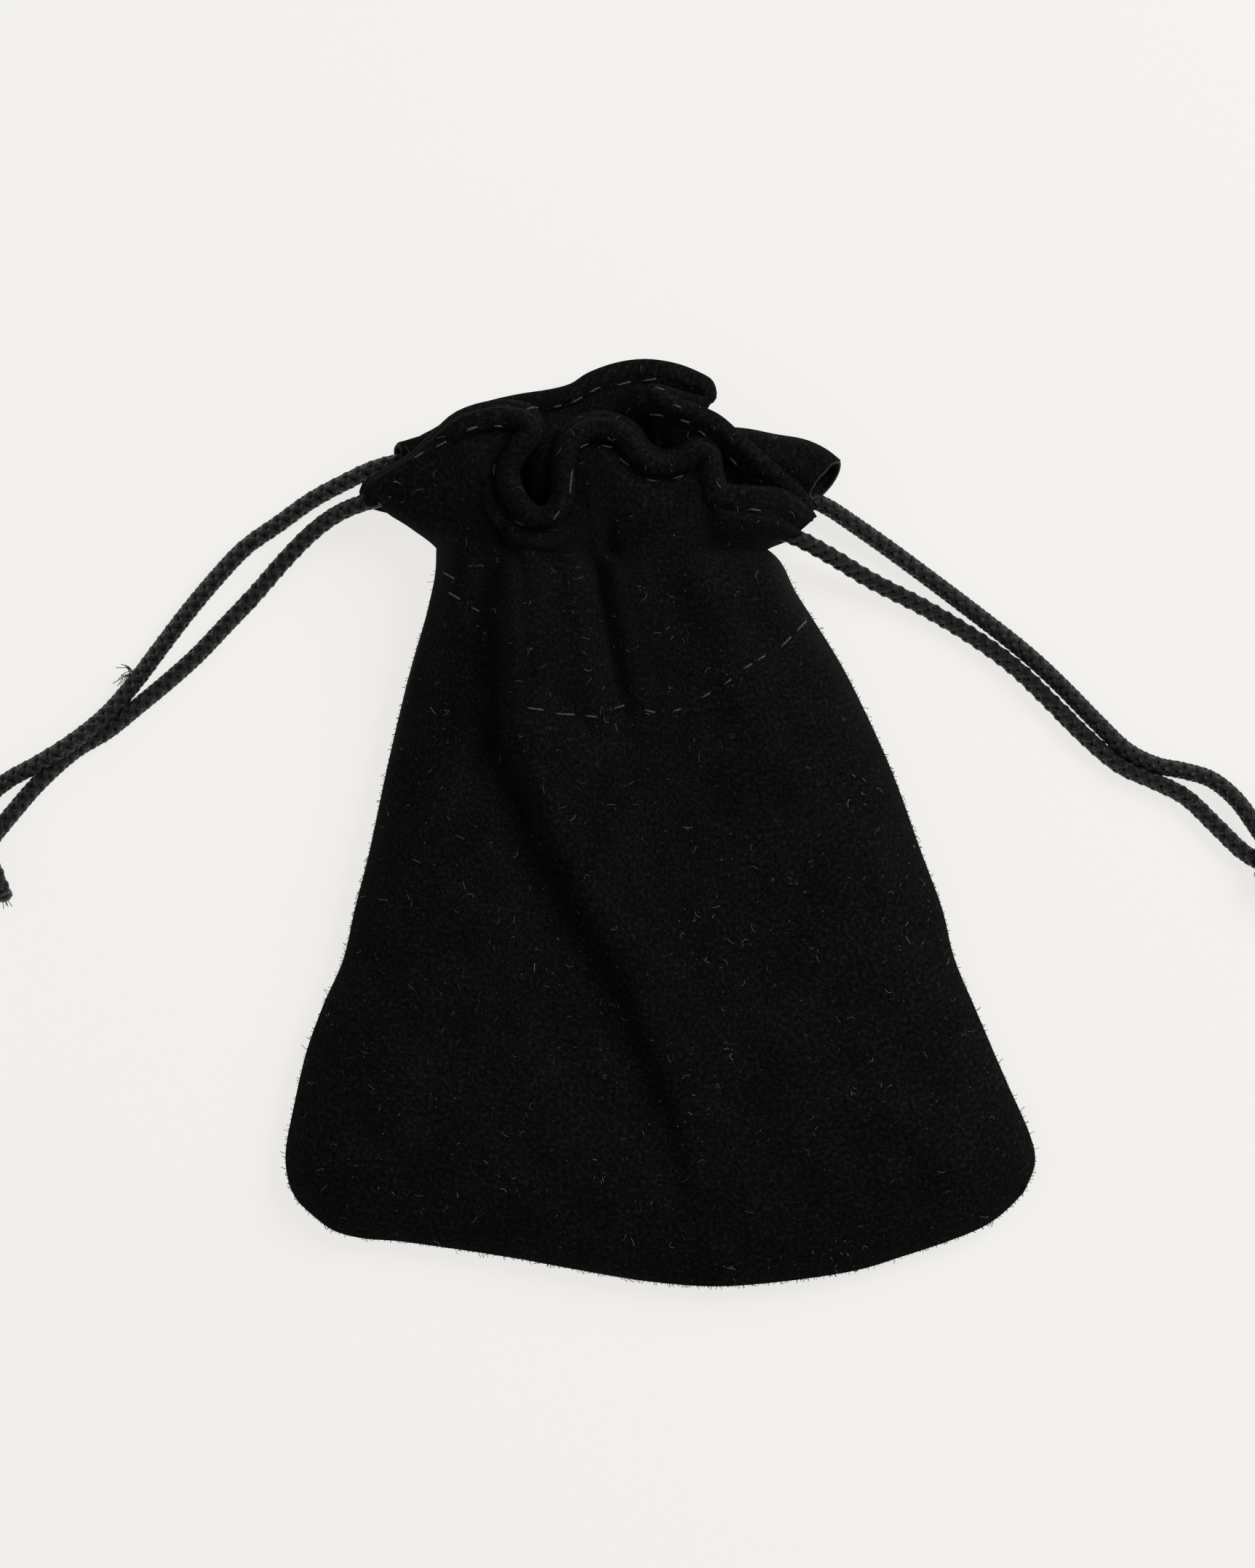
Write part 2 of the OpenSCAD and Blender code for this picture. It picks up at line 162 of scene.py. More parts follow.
# ---- Materials ----
class Shader:
    """A Principled material that is built up node by node."""

    def __init__(self, name):
        self.material = bpy.data.materials.new(name)
        self.material.use_nodes = True
        self.nodes = self.material.node_tree.nodes
        self.links = self.material.node_tree.links
        self.main = self.nodes["Principled BSDF"]
        self.bump_out = None

    def set(self, **values):
        for key, value in values.items():
            self.main.inputs[key.replace("_", " ")].default_value = value

    def coords(self, kind, scale):
        source = self.nodes.new("ShaderNodeTexCoord")
        mapping = self.nodes.new("ShaderNodeMapping")
        mapping.inputs["Scale"].default_value = scale
        self.links.new(source.outputs[kind], mapping.inputs["Vector"])
        return mapping.outputs["Vector"]

    def noise(self, vector, scale, detail=3.0, rough=0.6):
        node = self.nodes.new("ShaderNodeTexNoise")
        node.inputs["Scale"].default_value = scale
        node.inputs["Detail"].default_value = detail
        node.inputs["Roughness"].default_value = rough
        self.links.new(vector, node.inputs["Vector"])
        return node.outputs["Fac"]

    def ramp(self, factor, stops):
        node = self.nodes.new("ShaderNodeValToRGB")
        marks = node.color_ramp.elements
        while len(marks) < len(stops):
            marks.new(0.5)
        for mark, (at, colour) in zip(marks, stops):
            mark.position = at
            mark.color = (*colour, 1)
        self.links.new(factor, node.inputs["Fac"])
        return node.outputs["Color"]

    def mix(self, kind, a, b):
        """The two colours mixed in full."""
        node = self.nodes.new("ShaderNodeMix")
        node.data_type = "RGBA"
        node.blend_type = kind
        node.inputs["Factor"].default_value = 1
        self.links.new(a, node.inputs[6])
        self.links.new(b, node.inputs[7])
        return node.outputs[2]

    def colour(self, output):
        self.links.new(output, self.main.inputs["Base Color"])

    def value(self, output, socket, low, high):
        node = self.nodes.new("ShaderNodeMapRange")
        node.inputs["To Min"].default_value = low
        node.inputs["To Max"].default_value = high
        self.links.new(output, node.inputs["Value"])
        self.links.new(node.outputs["Result"], self.main.inputs[socket])

    def bump(self, height, distance, strength=1.0):
        node = self.nodes.new("ShaderNodeBump")
        node.inputs["Distance"].default_value = distance
        node.inputs["Strength"].default_value = strength
        self.links.new(height, node.inputs["Height"])
        if self.bump_out is not None:
            self.links.new(self.bump_out, node.inputs["Normal"])
        self.bump_out = node.outputs["Normal"]
        self.links.new(self.bump_out, self.main.inputs["Normal"])


cut_scale = 200.0        # millimetres of cloth to one unit of its UV map


def velvet_material(name, dark, light):
    """Near-black velvet: short pile brushed in patches, a soft sheen at grazing angles."""
    s = Shader(name)
    cloth = s.coords("UV", (cut_scale, cut_scale, cut_scale))
    patches = s.noise(cloth, 0.13, 4, 0.65)
    pile = s.noise(cloth, 3.2, 3, 0.7)
    clumps = s.noise(cloth, 0.9, 4, 0.7)
    base = s.ramp(patches, [(0.3, dark), (0.7, light)])
    grain = s.noise(cloth, 1.7, 5, 0.75)
    flecks = s.ramp(grain, [(0.36, (0.3, 0.3, 0.3)), (0.52, (1, 1, 1)), (0.66, (3.2, 3.2, 3.2))])
    s.colour(s.mix("MULTIPLY", base, flecks))
    s.value(pile, "Roughness", 0.8, 1.0)
    s.set(Specular_IOR_Level=0.05, Sheen_Weight=0.006, Sheen_Roughness=0.45)
    s.main.inputs["Sheen Tint"].default_value = (0.86, 0.9, 1.0, 1)
    s.bump(clumps, 0.00022)
    s.bump(pile, 0.00014)
    return s.material


def satin_material():
    """Filament yarn of the braided cord: fine streaks along the yarn and a silky gloss."""
    s = Shader("satin_cord")
    streaks = s.noise(s.coords("UV", (2.0, 90.0, 1.0)), 1.0, 3, 0.6)
    wear = s.noise(s.coords("UV", (7.0, 3.0, 1.0)), 1.0, 2, 0.5)
    s.colour(s.ramp(streaks, [(0.35, (0.002, 0.002, 0.0025)), (0.75, (0.012, 0.012, 0.0125))]))
    s.value(wear, "Roughness", 0.2, 0.4)
    s.set(Specular_IOR_Level=0.5, Sheen_Weight=0.02, Sheen_Roughness=0.3)
    s.bump(streaks, 0.00012)
    return s.material


def dull_material(name, coords, noise, stops, rough, specular, bump=None):
    """A dull fibre, dark to light by one noise that also sets its roughness and bump."""
    s = Shader(name)
    shade = s.noise(s.coords(*coords), *noise)
    s.colour(s.ramp(shade, stops))
    s.value(shade, "Roughness", *rough)
    s.set(Specular_IOR_Level=specular)
    if bump:
        s.bump(shade, bump)
    return s.material


velvet = velvet_material("velvet", (0.0032, 0.0033, 0.0033), (0.006, 0.0062, 0.0062))
velvet_inside = velvet_material("velvet_inside", (0.003, 0.0031, 0.0031), (0.0056, 0.0058, 0.0058))
satin = satin_material()
# Grey polyester sewing thread
thread = dull_material(
    "thread", ("UV", (14.0, 4.0, 1.0)), (1.0, 2, 0.5),
    [(0.35, (0.02, 0.02, 0.021)), (0.7, (0.13, 0.13, 0.135))], (0.5, 0.75), 0.35, 0.00006,
)
# Pale fluff caught in the pile
lint = dull_material(
    "lint", ("Object", (1, 1, 1)), (90.0, 2, 0.5),
    [(0.3, (0.03, 0.03, 0.032)), (0.75, (0.32, 0.32, 0.33))], (0.7, 0.95), 0.1,
)
# The cut edge of the velvet, where its paler backing shows
raw_edge = dull_material(
    "raw_edge", ("UV", (9.0, 3.0, 1.0)), (1.0, 3, 0.6),
    [(0.3, (0.008, 0.008, 0.009)), (0.75, (0.06, 0.06, 0.062))], (0.7, 0.95), 0.1, 0.0001,
)


# ---- Meshes ----
def make_object(name, points, faces, uvs, material, custom=None):
    """A mesh object from points in millimetres, a UV for each and, if given, corner normals."""
    mesh = bpy.data.meshes.new(name)
    mesh.from_pydata([tuple(p) for p in mm(points)], [], [tuple(f) for f in faces])
    mesh.materials.append(material)
    layer = mesh.uv_layers.new(name="UVMap")
    corner_points = np.zeros(len(mesh.loops), np.int32)
    mesh.loops.foreach_get("vertex_index", corner_points)
    layer.data.foreach_set("uv", np.asarray(uvs, np.float32)[corner_points].ravel())
    mesh.polygons.foreach_set("use_smooth", np.ones(len(mesh.polygons), bool))
    mesh.update()
    if custom is not None:
        mesh.normals_split_custom_set([tuple(n) for n in custom])
    obj = bpy.data.objects.new(name, mesh)
    bpy.context.scene.collection.objects.link(obj)
    return obj


class Soup:
    """Points, faces and UVs that are collected and then made into one object."""

    def __init__(self):
        self.points = []
        self.faces = []
        self.uvs = []

    def add(self, points, faces, uvs):
        start = len(self.points)
        self.points.extend(points)
        self.faces.extend([tuple(start + i for i in f) for f in faces])
        self.uvs.extend(uvs)

    def make(self, name, material, slot):
        return make_object(name, self.points, self.faces, self.uvs, material)


def frames(line):
    """Tangent and two cross directions at each point of a line, without twist."""
    tangent = unit(np.gradient(line, axis=0))
    side = np.zeros_like(line)
    first = np.cross([0, 0, 1.0], tangent[0])
    side[0] = unit(first) if np.linalg.norm(first) > 1e-6 else np.array([1.0, 0, 0])
    for i in range(1, len(line)):
        s = side[i - 1] - tangent[i] * (side[i - 1] @ tangent[i])
        side[i] = unit(s)
    return tangent, side, np.cross(tangent, side)


def ring_faces(rings, sides):
    """Quads of a tube of rings, with a face over each end."""
    faces = []
    for i in range(rings - 1):
        for k in range(sides):
            j = (k + 1) % sides
            a, b = i * sides, (i + 1) * sides
            faces.append((a + k, a + j, b + j, b + k))
    faces.append(tuple(range(sides - 1, -1, -1)))
    faces.append(tuple((rings - 1) * sides + k for k in range(sides)))
    return faces


def oval(line, across, up, wide, high, a):
    """Grid of points round a line, at the angles a, with an oval section."""
    return (
        line[:, None] + np.cos(a)[:, None] * (across * wide)[:, None]
        + np.sin(a)[:, None] * (up * high)[:, None]
    )


def closed(grid, along, uv_shift=0.0):
    """Points, faces and UVs of a closed tube, from its grid of rings."""
    count, sides, _ = grid.shape
    uvs = [(v / 10 + uv_shift, k / sides) for v in along for k in range(sides)]
    return grid.reshape(-1, 3), ring_faces(count, sides), uvs


def tube(line, radius, sides):
    """Points, faces and UVs of a round tube; radius is one number or one for each point."""
    line = np.asarray(line, float)
    _, side, up = frames(line)
    radii = np.broadcast_to(radius, (len(line),))[:, None]
    a = 2 * math.pi * np.arange(sides) / sides
    return closed(oval(line, side, up, radii, radii, a), lengths(line))


# ---- Braided cord ----
braid_turn = 7.4         # length of cord for one full turn of a yarn
yarn_centre = 0.84       # from the cord's middle to a yarn's
yarn_weave = 0.15        # how far a yarn goes out and in as it crosses the others
yarn_thick = 0.29        # half of a yarn's oval section, out from the cord and across
yarn_wide = 0.46
core_r = 0.78
braid_step = 0.36        # length of cord between rings of the mesh
yarn_sides = 6


def braid(soup, line, start_angle=0.0):
    """Eight yarns plaited over and under each other round a core, along a line."""
    count = max(4, int(lengths(np.asarray(line))[-1] / braid_step))
    line = even(line, count)
    _, side, up = frames(line)
    along = lengths(line)
    a = 2 * math.pi * np.arange(yarn_sides) / yarn_sides
    for yarn in range(8):
        way = 1 if yarn < 4 else -1
        angle = way * 2 * math.pi * along / braid_turn + math.pi / 2 * (yarn % 4) + start_angle
        out = np.cos(angle)[:, None] * side + np.sin(angle)[:, None] * up
        lift = yarn_centre + way * yarn_weave * np.cos(4 * (angle - start_angle))
        centre = line + out * lift[:, None]
        heading = unit(np.gradient(centre, axis=0))
        across = unit(np.cross(heading, out))
        outward = np.cross(across, heading)
        grid = oval(centre, outward, across, yarn_thick, yarn_wide, a)
        soup.add(*closed(grid, along, yarn * 3.7))
    soup.add(*tube(line[::2], core_r, 8))


# Routes of the free strands from inside the channel to the knot, like the part's own but moved up
# to 2 mm to where the picture shows the cords
routes = {
    "left_cord_upper": [
        (-17, 47, 2.5), (-22, 47.1, 2.5), (-28, 48.2, 3),
        (-33.5, 49.3, 3.4), (-38.5, 48.4, 3.1), (-43, 46.4, 2.4), (-47.5, 44, 1.7),
        (-52, 40.8, 1.3), (-56.5, 37.6, 1.3), (-60.5, 33.4, 1.3), (-64.5, 28.6, 1.3),
        (-68.3, 23.6, 1.3), (-71.6, 19.2, 1.4), (-75.4, 14.8, 2.3), (-79.8, 11.2, 3.3),
        (-84.6, 8.2, 2.4), (-88.8, 5.9, 1.6), (-91.8, 3.2, 2.2), (-92.8, 0.2, 3.4),
    ],
    "left_cord_lower": [
        (-17, 47, 12), (-22, 46.4, 11.4), (-28, 45.2, 10.2),
        (-33.5, 44.6, 8.4), (-38.7, 43.9, 6.9), (-43.2, 42.4, 5), (-47, 39.9, 3.3),
        (-51, 36, 2), (-55.4, 31, 1.3), (-59.2, 27, 1.3), (-63, 23, 1.3),
        (-67, 19.4, 1.3), (-71, 16.1, 1.3), (-75.2, 12.7, 1.3), (-79.8, 9.9, 1.3),
        (-84.4, 5.8, 1.3), (-88, 1.7, 1.3), (-91, -2, 1.4),
    ],
    "right_cord_upper": [
        (3, 41.5, 2.5), (9, 42, 2.6), (15, 43.4, 2.9),
        (19.4, 44.2, 3), (22.4, 43.2, 2.9), (26, 40.9, 2.4), (30.5, 37.8, 1.6),
        (35.7, 34, 1.3), (42.6, 28.8, 1.3), (49.5, 23.4, 1.3), (54.4, 18.9, 1.3),
        (59.3, 13.9, 1.3), (63.4, 10, 1.4), (67.4, 8, 1.5), (71.2, 7.2, 1.3),
        (75, 6, 1.3), (78.3, 3.3, 1.7), (80.8, -0.2, 2.6), (82.8, -3.4, 3.4),
    ],
    "right_cord_lower": [
        (3, 41.5, 12), (8, 41.4, 11.6), (12, 40.9, 10.2),
        (15.4, 39.9, 7.6), (19.1, 38.5, 5.6), (23.4, 36.2, 4), (28.8, 33, 2.4),
        (35.7, 29.5, 1.4), (42.6, 25.4, 1.3), (48.2, 21.3, 1.3), (53.1, 16.6, 1.3),
        (57.9, 11.8, 1.3), (62.6, 7.9, 1.3), (67.4, 5.7, 1.3), (71.6, 3.5, 1.3),
        (75.7, -0.4, 1.3), (79, -3.6, 1.4), (81.8, -5.4, 2),
    ],
}
# The end of the mouth that each side's strands leave, and where a strand is at rest in mid run
sides_of_cords = {
    "left": ("mouth_left", "left_drawstring", -39.0, -56.0),
    "right": ("mouth_right", "right_drawstring", 21.0, 55.0),
}
hidden_points = 1        # points of each route that stay out of sight in the channel
# Each knot's place, its turn in degrees, and the angle and length of each tail
knot_at = {
    "left": (-93, -3, -100, ((-16, 11), (38, 7.8))),
    "right": (84, -6.5, -56, ((-20, 11), (18, 11))),
}
knot_z = 2.55
knot_l = 5.2             # length and radius of the knot, to the middle of its cord
knot_r = 1.95
knot_flat = 0.72         # its height as a share of its width
knot_turns = 1.9


def knot_piece(side):
    """Both strands knotted together, drawn up tight: a cord wound round them, and two short tails."""
    x, y, turn, tails = knot_at[side]
    soup = Soup()
    angle = math.radians(turn)
    ahead = np.array([math.cos(angle), math.sin(angle), 0])
    across = np.array([-math.sin(angle), math.cos(angle), 0])
    up = np.array([0, 0, 1.0])
    centre = np.array([x, y, knot_z])

    def place(points):
        return centre + np.asarray(points) @ np.array([ahead, across, up])

    wraps = []
    steps = 22
    for i in range(steps + 1):
        t = i / steps
        a = 2 * math.pi * knot_turns * t - 0.6
        r = knot_r * (0.55 + 0.45 * math.sin(math.pi * t) ** 0.5)
        wraps.append((-knot_l / 2 + knot_l * t, r * math.cos(a), r * knot_flat * math.sin(a)))
    braid(soup, place(wraps))
    for k, (tail, tail_l) in enumerate(tails):
        a = math.radians(tail)
        x, y = tail_l * math.cos(a), tail_l * math.sin(a)
        off = 0.8 if tail > 0 else -0.8
        run = place([
            (-3.4, -off * 0.6, 0.2), (-1.2, off * 0.4, 0.3), (1.4, off, 0),
            (0.36 * x, 0.36 * y + off * 0.8, -0.7), (0.66 * x, 0.66 * y + off * 0.4, -1.2),
            (x, y, -1.2),
        ])
        braid(soup, run, 0.7 * k)
        end = run[-1]
        heading = unit(end - run[-2])
        seal = [end - heading * 0.9, end - heading * 0.3, end + heading * 0.35, end + heading * 0.75]
        soup.add(*tube(seal, [0.9, 1.24, 1.12, 0.5], 14))
        for _ in range(7):
            spread = np.array([rng.gauss(0, 0.4), rng.gauss(0, 0.4), rng.gauss(0, 0.2)])
            tip = end + heading * rng.uniform(0.7, 1.5) + spread
            tip[2] = max(tip[2], 0.2)
            soup.add(*tube([end, (end + tip) / 2 + spread * 0.2, tip], 0.05, 4))
    piece = soup.make(side + "_knot_braided", satin, "satin_cord")
    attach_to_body(piece, side + "_drawstring")
    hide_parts(side + "_knot")
    return piece


def strand_line(side, level):
    """The line of a free strand, and the number of its point that stays at rest in mid run."""
    line = even(routes[f"{side}_cord_{level}"][hidden_points:], 150)
    return line, nearest(line, sides_of_cords[side][3])


def nearest(line, x):
    """The number of the point of a line that is nearest to a place along X."""
    return int(np.argmin(np.abs(line[:, 0] - x)))


def strand_pieces(side, level):
    """One strand from the mouth to its knot, in two lengths that meet where it stays at rest."""
    node = f"{side}_cord_{level}"
    mouth, cord_body, x_mouth, _ = sides_of_cords[side]
    line, mid = strand_line(side, level)
    tied = [knots[side]] if level == "upper" else []
    for part, run, body, end, far_end, pieces in (
        ("near", line[: mid + 1], mouth, line[nearest(line, x_mouth)], "object", []),
        ("far", line[mid:], cord_body, line[-1], "knot", tied),
    ):
        soup = Soup()
        braid(soup, run, 0.4 if level == "upper" else 1.1)
        piece = soup.make(f"{node}_{part}", satin, "satin_cord")
        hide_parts(node)
        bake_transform(piece)


knots = {side: knot_piece(side) for side in ("left", "right")}
for side in ("left", "right"):
    for level in ("upper", "lower"):
        strand_pieces(side, level)

# ---- Outline of the body ----
left_side = [
    (-30.1, 37.8), (-30.4, 33.8), (-31.9, 27.9), (-34.2, 20), (-37.1, 8), (-39.6, -3.7),
    (-41.6, -11.6), (-43.2, -18.6), (-45.8, -24.6), (-48.2, -31.3), (-50, -39.2),
    (-51, -45), (-50.5, -49.2), (-49.2, -51.6),
]
right_side = [
    (14.1, 37.7), (16.2, 35.7), (18.1, 31.8), (20.6, 27.9), (25.4, 20), (31.1, 8),
    (35.4, -3.7), (38.3, -11.6), (40, -18.5), (43.1, -26), (47, -35.2), (50.2, -42.5),
    (50.9, -46.4), (49.4, -50.2),
]
bottom_edge = [
    (-49.2, -51.6), (-47, -53.6), (-44.4, -55.4), (-40.5, -56.4), (-34.9, -56.9),
    (-21.4, -58.9), (-11, -60.8), (-2, -62.3), (6.8, -63), (16, -62.4), (26.2, -60.9),
    (32.9, -58.9), (38.9, -56.9), (43.6, -55), (46.6, -53), (49.4, -50.2),
]
cloth_t = 0.9            # thickness of the velvet with its pile
inset = cloth_t / 2

# ---- Front cloth above the neck, as rows of points from the left seam to the right seam ----
front_neck = [
    (-29.7, 37.8, 1.6), (-29.9, 38, 4.2), (-29.2, 38.3, 7), (-28, 38.5, 9),
    (-26.6, 38.6, 10.4), (-25.2, 38.6, 11), (-23.9, 38.3, 11.2), (-22.8, 38, 11.1),
    (-21.8, 37.6, 10.9), (-20.9, 37.3, 10.9), (-20.1, 37.1, 11.3), (-19, 37, 12),
    (-17.4, 36.8, 12.6), (-15.6, 36.6, 12.8), (-13.6, 36.6, 12.7), (-12, 36.7, 12.2),
    (-10.6, 36.8, 11.7), (-9.4, 36.9, 11.4), (-8.4, 37, 11.1), (-7.4, 37, 10.9),
    (-6.4, 36.9, 11), (-5.2, 36.8, 11.6), (-3.4, 36.6, 12.3), (-1, 36.4, 12.7),
    (1.4, 36.4, 12.7), (3.6, 36.6, 12.4), (5.6, 36.8, 12), (7.8, 37, 11.4),
    (9.9, 37.2, 10.4), (11.8, 37.4, 8.6), (13.1, 37.6, 5.4), (13.6, 37.7, 1.6),
]
front_pleats = [
    (-35.8, 42.3, 4.6), (-37.2, 42.9, 7), (-36.6, 44.8, 10), (-34.2, 46.8, 12),
    (-31, 48.6, 13.2), (-28.2, 49.6, 13.7), (-26, 49.6, 14), (-24.6, 48.9, 14.1),
    (-24, 48, 14.1), (-23.9, 46.9, 14), (-23.8, 45.2, 13.8), (-23.1, 42.6, 13.5),
    (-20.9, 40, 13.3), (-16.6, 38.4, 13.2), (-12.4, 39.5, 13.2), (-10.1, 42.6, 13.3),
    (-9.6, 45.2, 13.6), (-9.2, 47.2, 13.9), (-8.5, 48.4, 14.1), (-7.4, 48.6, 14.1),
    (-6.3, 47.8, 13.9), (-5.1, 46, 13.6), (-2, 43.8, 13.4), (1.8, 43.4, 13.3),
    (4.6, 44.6, 13.1), (5.8, 44.4, 12.8), (6.8, 42.8, 13), (8.4, 41.4, 14.1),
    (11.4, 41, 13.8), (14.6, 40.6, 12.6), (17.4, 39.8, 9.8), (18.8, 39.2, 6),
]
front_lip = [
    (-38.6, 43.5, 7.4), (-38.7, 45, 9.4), (-36.2, 46.4, 11.2), (-33, 48.3, 12.5),
    (-29.9, 50.9, 13.3), (-26.8, 53.5, 13.8), (-22.4, 54.7, 14), (-18.7, 54.3, 14.1),
    (-17.8, 52.6, 14.2), (-19.6, 50.2, 14.4), (-20.7, 47.5, 14.5), (-20, 44.7, 14.6),
    (-18.5, 42.4, 14.6), (-16.5, 41.3, 14.6), (-14.4, 42.1, 14.6), (-13.1, 44.8, 14.6),
    (-13.2, 48.3, 14.6), (-12.2, 51.1, 14.5), (-10, 52.8, 14.4), (-7.2, 53.1, 14.4),
    (-4.5, 51.9, 14.3), (-2.7, 49.6, 14.2), (-0.3, 48.3, 14.2), (2.6, 48.7, 14.1),
    (4.9, 50.1, 13.9), (6.4, 49.4, 13.6), (7, 46.6, 13.6), (8.4, 44.4, 14.2),
    (12, 44, 14.2), (15.8, 43.7, 13), (18.4, 42.2, 10.4), (19.7, 40.9, 7),
]
# How far the lip is rolled, from a flat fold at 0 to a full roll at 1, at each point of its row
front_rolled = [
    0.1, 0.1, 0.12, 0.15, 0.2, 0.35, 0.5, 0.75, 0.95, 1, 1, 1, 1, 1, 1, 1, 1, 1, 1, 1, 1, 1, 0.95,
    0.9, 0.85, 0.7, 0.35, 0.1, 0.05, 0.05, 0.05, 0.05,
]
rolled_out = [1.3, 1.05, 0.75, 0, -0.78, -1.05, -1.2, -1.05]
rolled_dz = [-1.5, -0.2, 0.62, 1.0, 0.6, -0.3, -2.6, -5.2]
folded_out = [2.0, 1.2, 0.5, -0.25, -0.85, -1.0, -0.95, -0.85]
folded_dz = [-0.5, -0.1, 0.15, 0.2, -0.1, -0.7, -2.6, -5.0]

# ---- Back cloth above the neck ----
back_lip = [
    (-34.4, 49.2, 3.8), (-33.9, 50.6, 4.2), (-32.4, 51.9, 4.8), (-30.2, 53.1, 5),
    (-27.6, 54.8, 4.8), (-24, 56.4, 5), (-19.5, 57.5, 5), (-15, 58.2, 5),
    (-12, 59, 5.2), (-9.6, 60.5, 5.2), (-6, 61.8, 5.2), (-2.2, 62.3, 5.2),
    (1.6, 61.8, 5.4), (4.6, 60.7, 5.8), (6.6, 59.4, 6.2), (6.6, 57.2, 7.4),
    (3.6, 57.6, 8.6), (0.2, 58.6, 9.4), (-1.4, 58.6, 10.2), (1.2, 57.2, 10.8),
    (4.8, 55.9, 10.8), (7.6, 54.6, 10.4), (10.2, 52.4, 10), (13, 50, 9.4),
    (16.1, 47.3, 8.4), (18.8, 45, 6.8), (20.4, 42.6, 4.5),
]
back_inner = [
    (-33.2, 48.2, 4.6), (-32.6, 49, 5), (-31.2, 49.8, 5.4), (-29, 50.6, 5.8),
    (-26.6, 51.8, 5.8), (-23.2, 53.2, 5.9), (-19, 54.2, 5.8), (-15, 55, 5.5),
    (-11.8, 56, 5.4), (-9.2, 57.2, 5.5), (-6, 58.2, 5.3), (-2.6, 58.7, 5.2),
    (0.6, 58.3, 5.2), (3, 57.4, 5.4), (4.4, 56.4, 5.9), (4.2, 55.4, 6.8),
    (2.4, 55, 7.6), (0.2, 55.4, 8.2), (-0.6, 55.2, 9), (0.4, 54.2, 9.4),
    (2.8, 52.6, 9.2), (5.2, 51, 8.6), (7.6, 49, 8), (10.2, 46.8, 7.4),
    (13, 44.4, 6.6), (15.6, 42.4, 5.4), (17.8, 40.8, 3.9),
]
back_neck_left = (-29.7, 37.8)
back_neck_right = (13.6, 37.7)

# ---- Folds of the body ----
main_fold = np.array([
    (-20, 40), (-20.5, 30), (-20.4, 13), (-16, 0), (-10.9, -10.8), (-4.4, -23), (-0.1, -34),
    (2.9, -42), (5.7, -56),
], float)
short_crease = np.array([(-8, 40), (-7.4, 31), (-5.9, 20), (-4.7, 13), (-3.6, 6)], float)
soft_valley = np.array([(2, 10), (5, 0), (9, -12)], float)
right_fold = np.array([(7, 38), (9, 28), (14, 12), (20, -6)], float)
left_fold = np.array([(-26, 38), (-27, 24), (-31, 4), (-35, -16)], float)
seam_z = 1.3
body_rows = 104
column_steps = 4         # mesh columns between two points of a row


def body_plan(columns, neck):
    """Points of the body in X and Y, on a grid from the neck to the bottom edge."""
    s = np.linspace(0, 1, body_rows)[:, None, None]
    u = np.linspace(0, 1, columns)[None, :, None]
    left = even(left_side, body_rows)[:, None]
    right = even(right_side, body_rows)[:, None]
    bottom = even(bottom_edge, columns)[None]
    top = neck[None, :, :2]
    corners = (
        (1 - u) * (1 - s) * top[:, :1] + u * (1 - s) * top[:, -1:]
        + (1 - u) * s * bottom[:, :1] + u * s * bottom[:, -1:]
    )
    return (1 - u) * left + u * right + (1 - s) * top + s * bottom - corners


outline = np.concatenate([even(left_side, 90), even(bottom_edge, 90), even(right_side, 90)[::-1]])
body_centre = np.array([0.0, -12.0])


def rim_rise(flat, reach):
    """Share of its full height that the cloth has at each point: 0 at the seam."""
    away, _ = line_distance(flat, outline)
    t = np.clip(np.abs(away) / reach, 0, 1)
    return np.sqrt(1 - (1 - t) ** 2)


def top_height(flat):
    """Height of the upper cloth of the body over the floor, with its folds."""
    y = flat[:, 1]
    up = smooth((y + 60) / 95)
    crown = 8.2 + 4.0 * up
    reach = 19 - 8 * smooth((y - 5) / 30)
    rise = rim_rise(flat, reach)
    z = seam_z + (crown - seam_z) * rise
    d, along = line_distance(flat, main_fold[::-1])
    along = 1 - along
    step = (3.5 - 1.9 * smooth(along * 1.1)) * (1 - 0.7 * smooth((along - 0.75) * 4))
    z += step * smooth((d + 1.5) / 2.5) * np.exp(-np.maximum(d, 0) / 15)
    z -= step * (0.5 * bell(d + 2.8, 3) + 0.35 * bell(d + 6.5, 6.5))
    d, along = line_distance(flat, short_crease)
    z -= 2.6 * (1 - smooth(along * 1.05)) * bell(d, 1.9)
    z += 0.9 * (1 - along) * bell(d - 4, 3)
    d, along = line_distance(flat, soft_valley)
    z -= 0.9 * np.sin(math.pi * np.clip(along, 0.02, 0.98)) * bell(d, 7)
    d, along = line_distance(flat, right_fold)
    z += 0.9 * (1 - smooth(along)) * (bell(d, 3.5) - 0.7 * bell(d - 6, 4))
    d, along = line_distance(flat, left_fold)
    z += 0.8 * (1 - smooth(along)) * (bell(d, 3) - 0.6 * bell(d + 4, 3))
    inside = smooth(rise)
    z += inside * (0.35 * ripples(flat, 26, 3) + 0.12 * ripples(flat, 8, 5) + 0.05 * ripples(flat, 3, 9))
    return np.maximum(z, seam_z)


def under_height(flat):
    """Height of the lower cloth, which lies on the floor and turns up to the seam at its rim."""
    rise = rim_rise(flat, 5)
    z = seam_z - (seam_z - inset - 0.05) * rise
    return z + 0.25 * smooth(rise) * np.maximum(0, ripples(flat, 16, 21))


def draw_in(flat):
    """Moves points that lie on the outline inwards by half the cloth's thickness."""
    away, _ = line_distance(flat, outline)
    inward = unit(body_centre - flat)
    return flat + inward * inset * bell(np.abs(away), 3)[:, None]


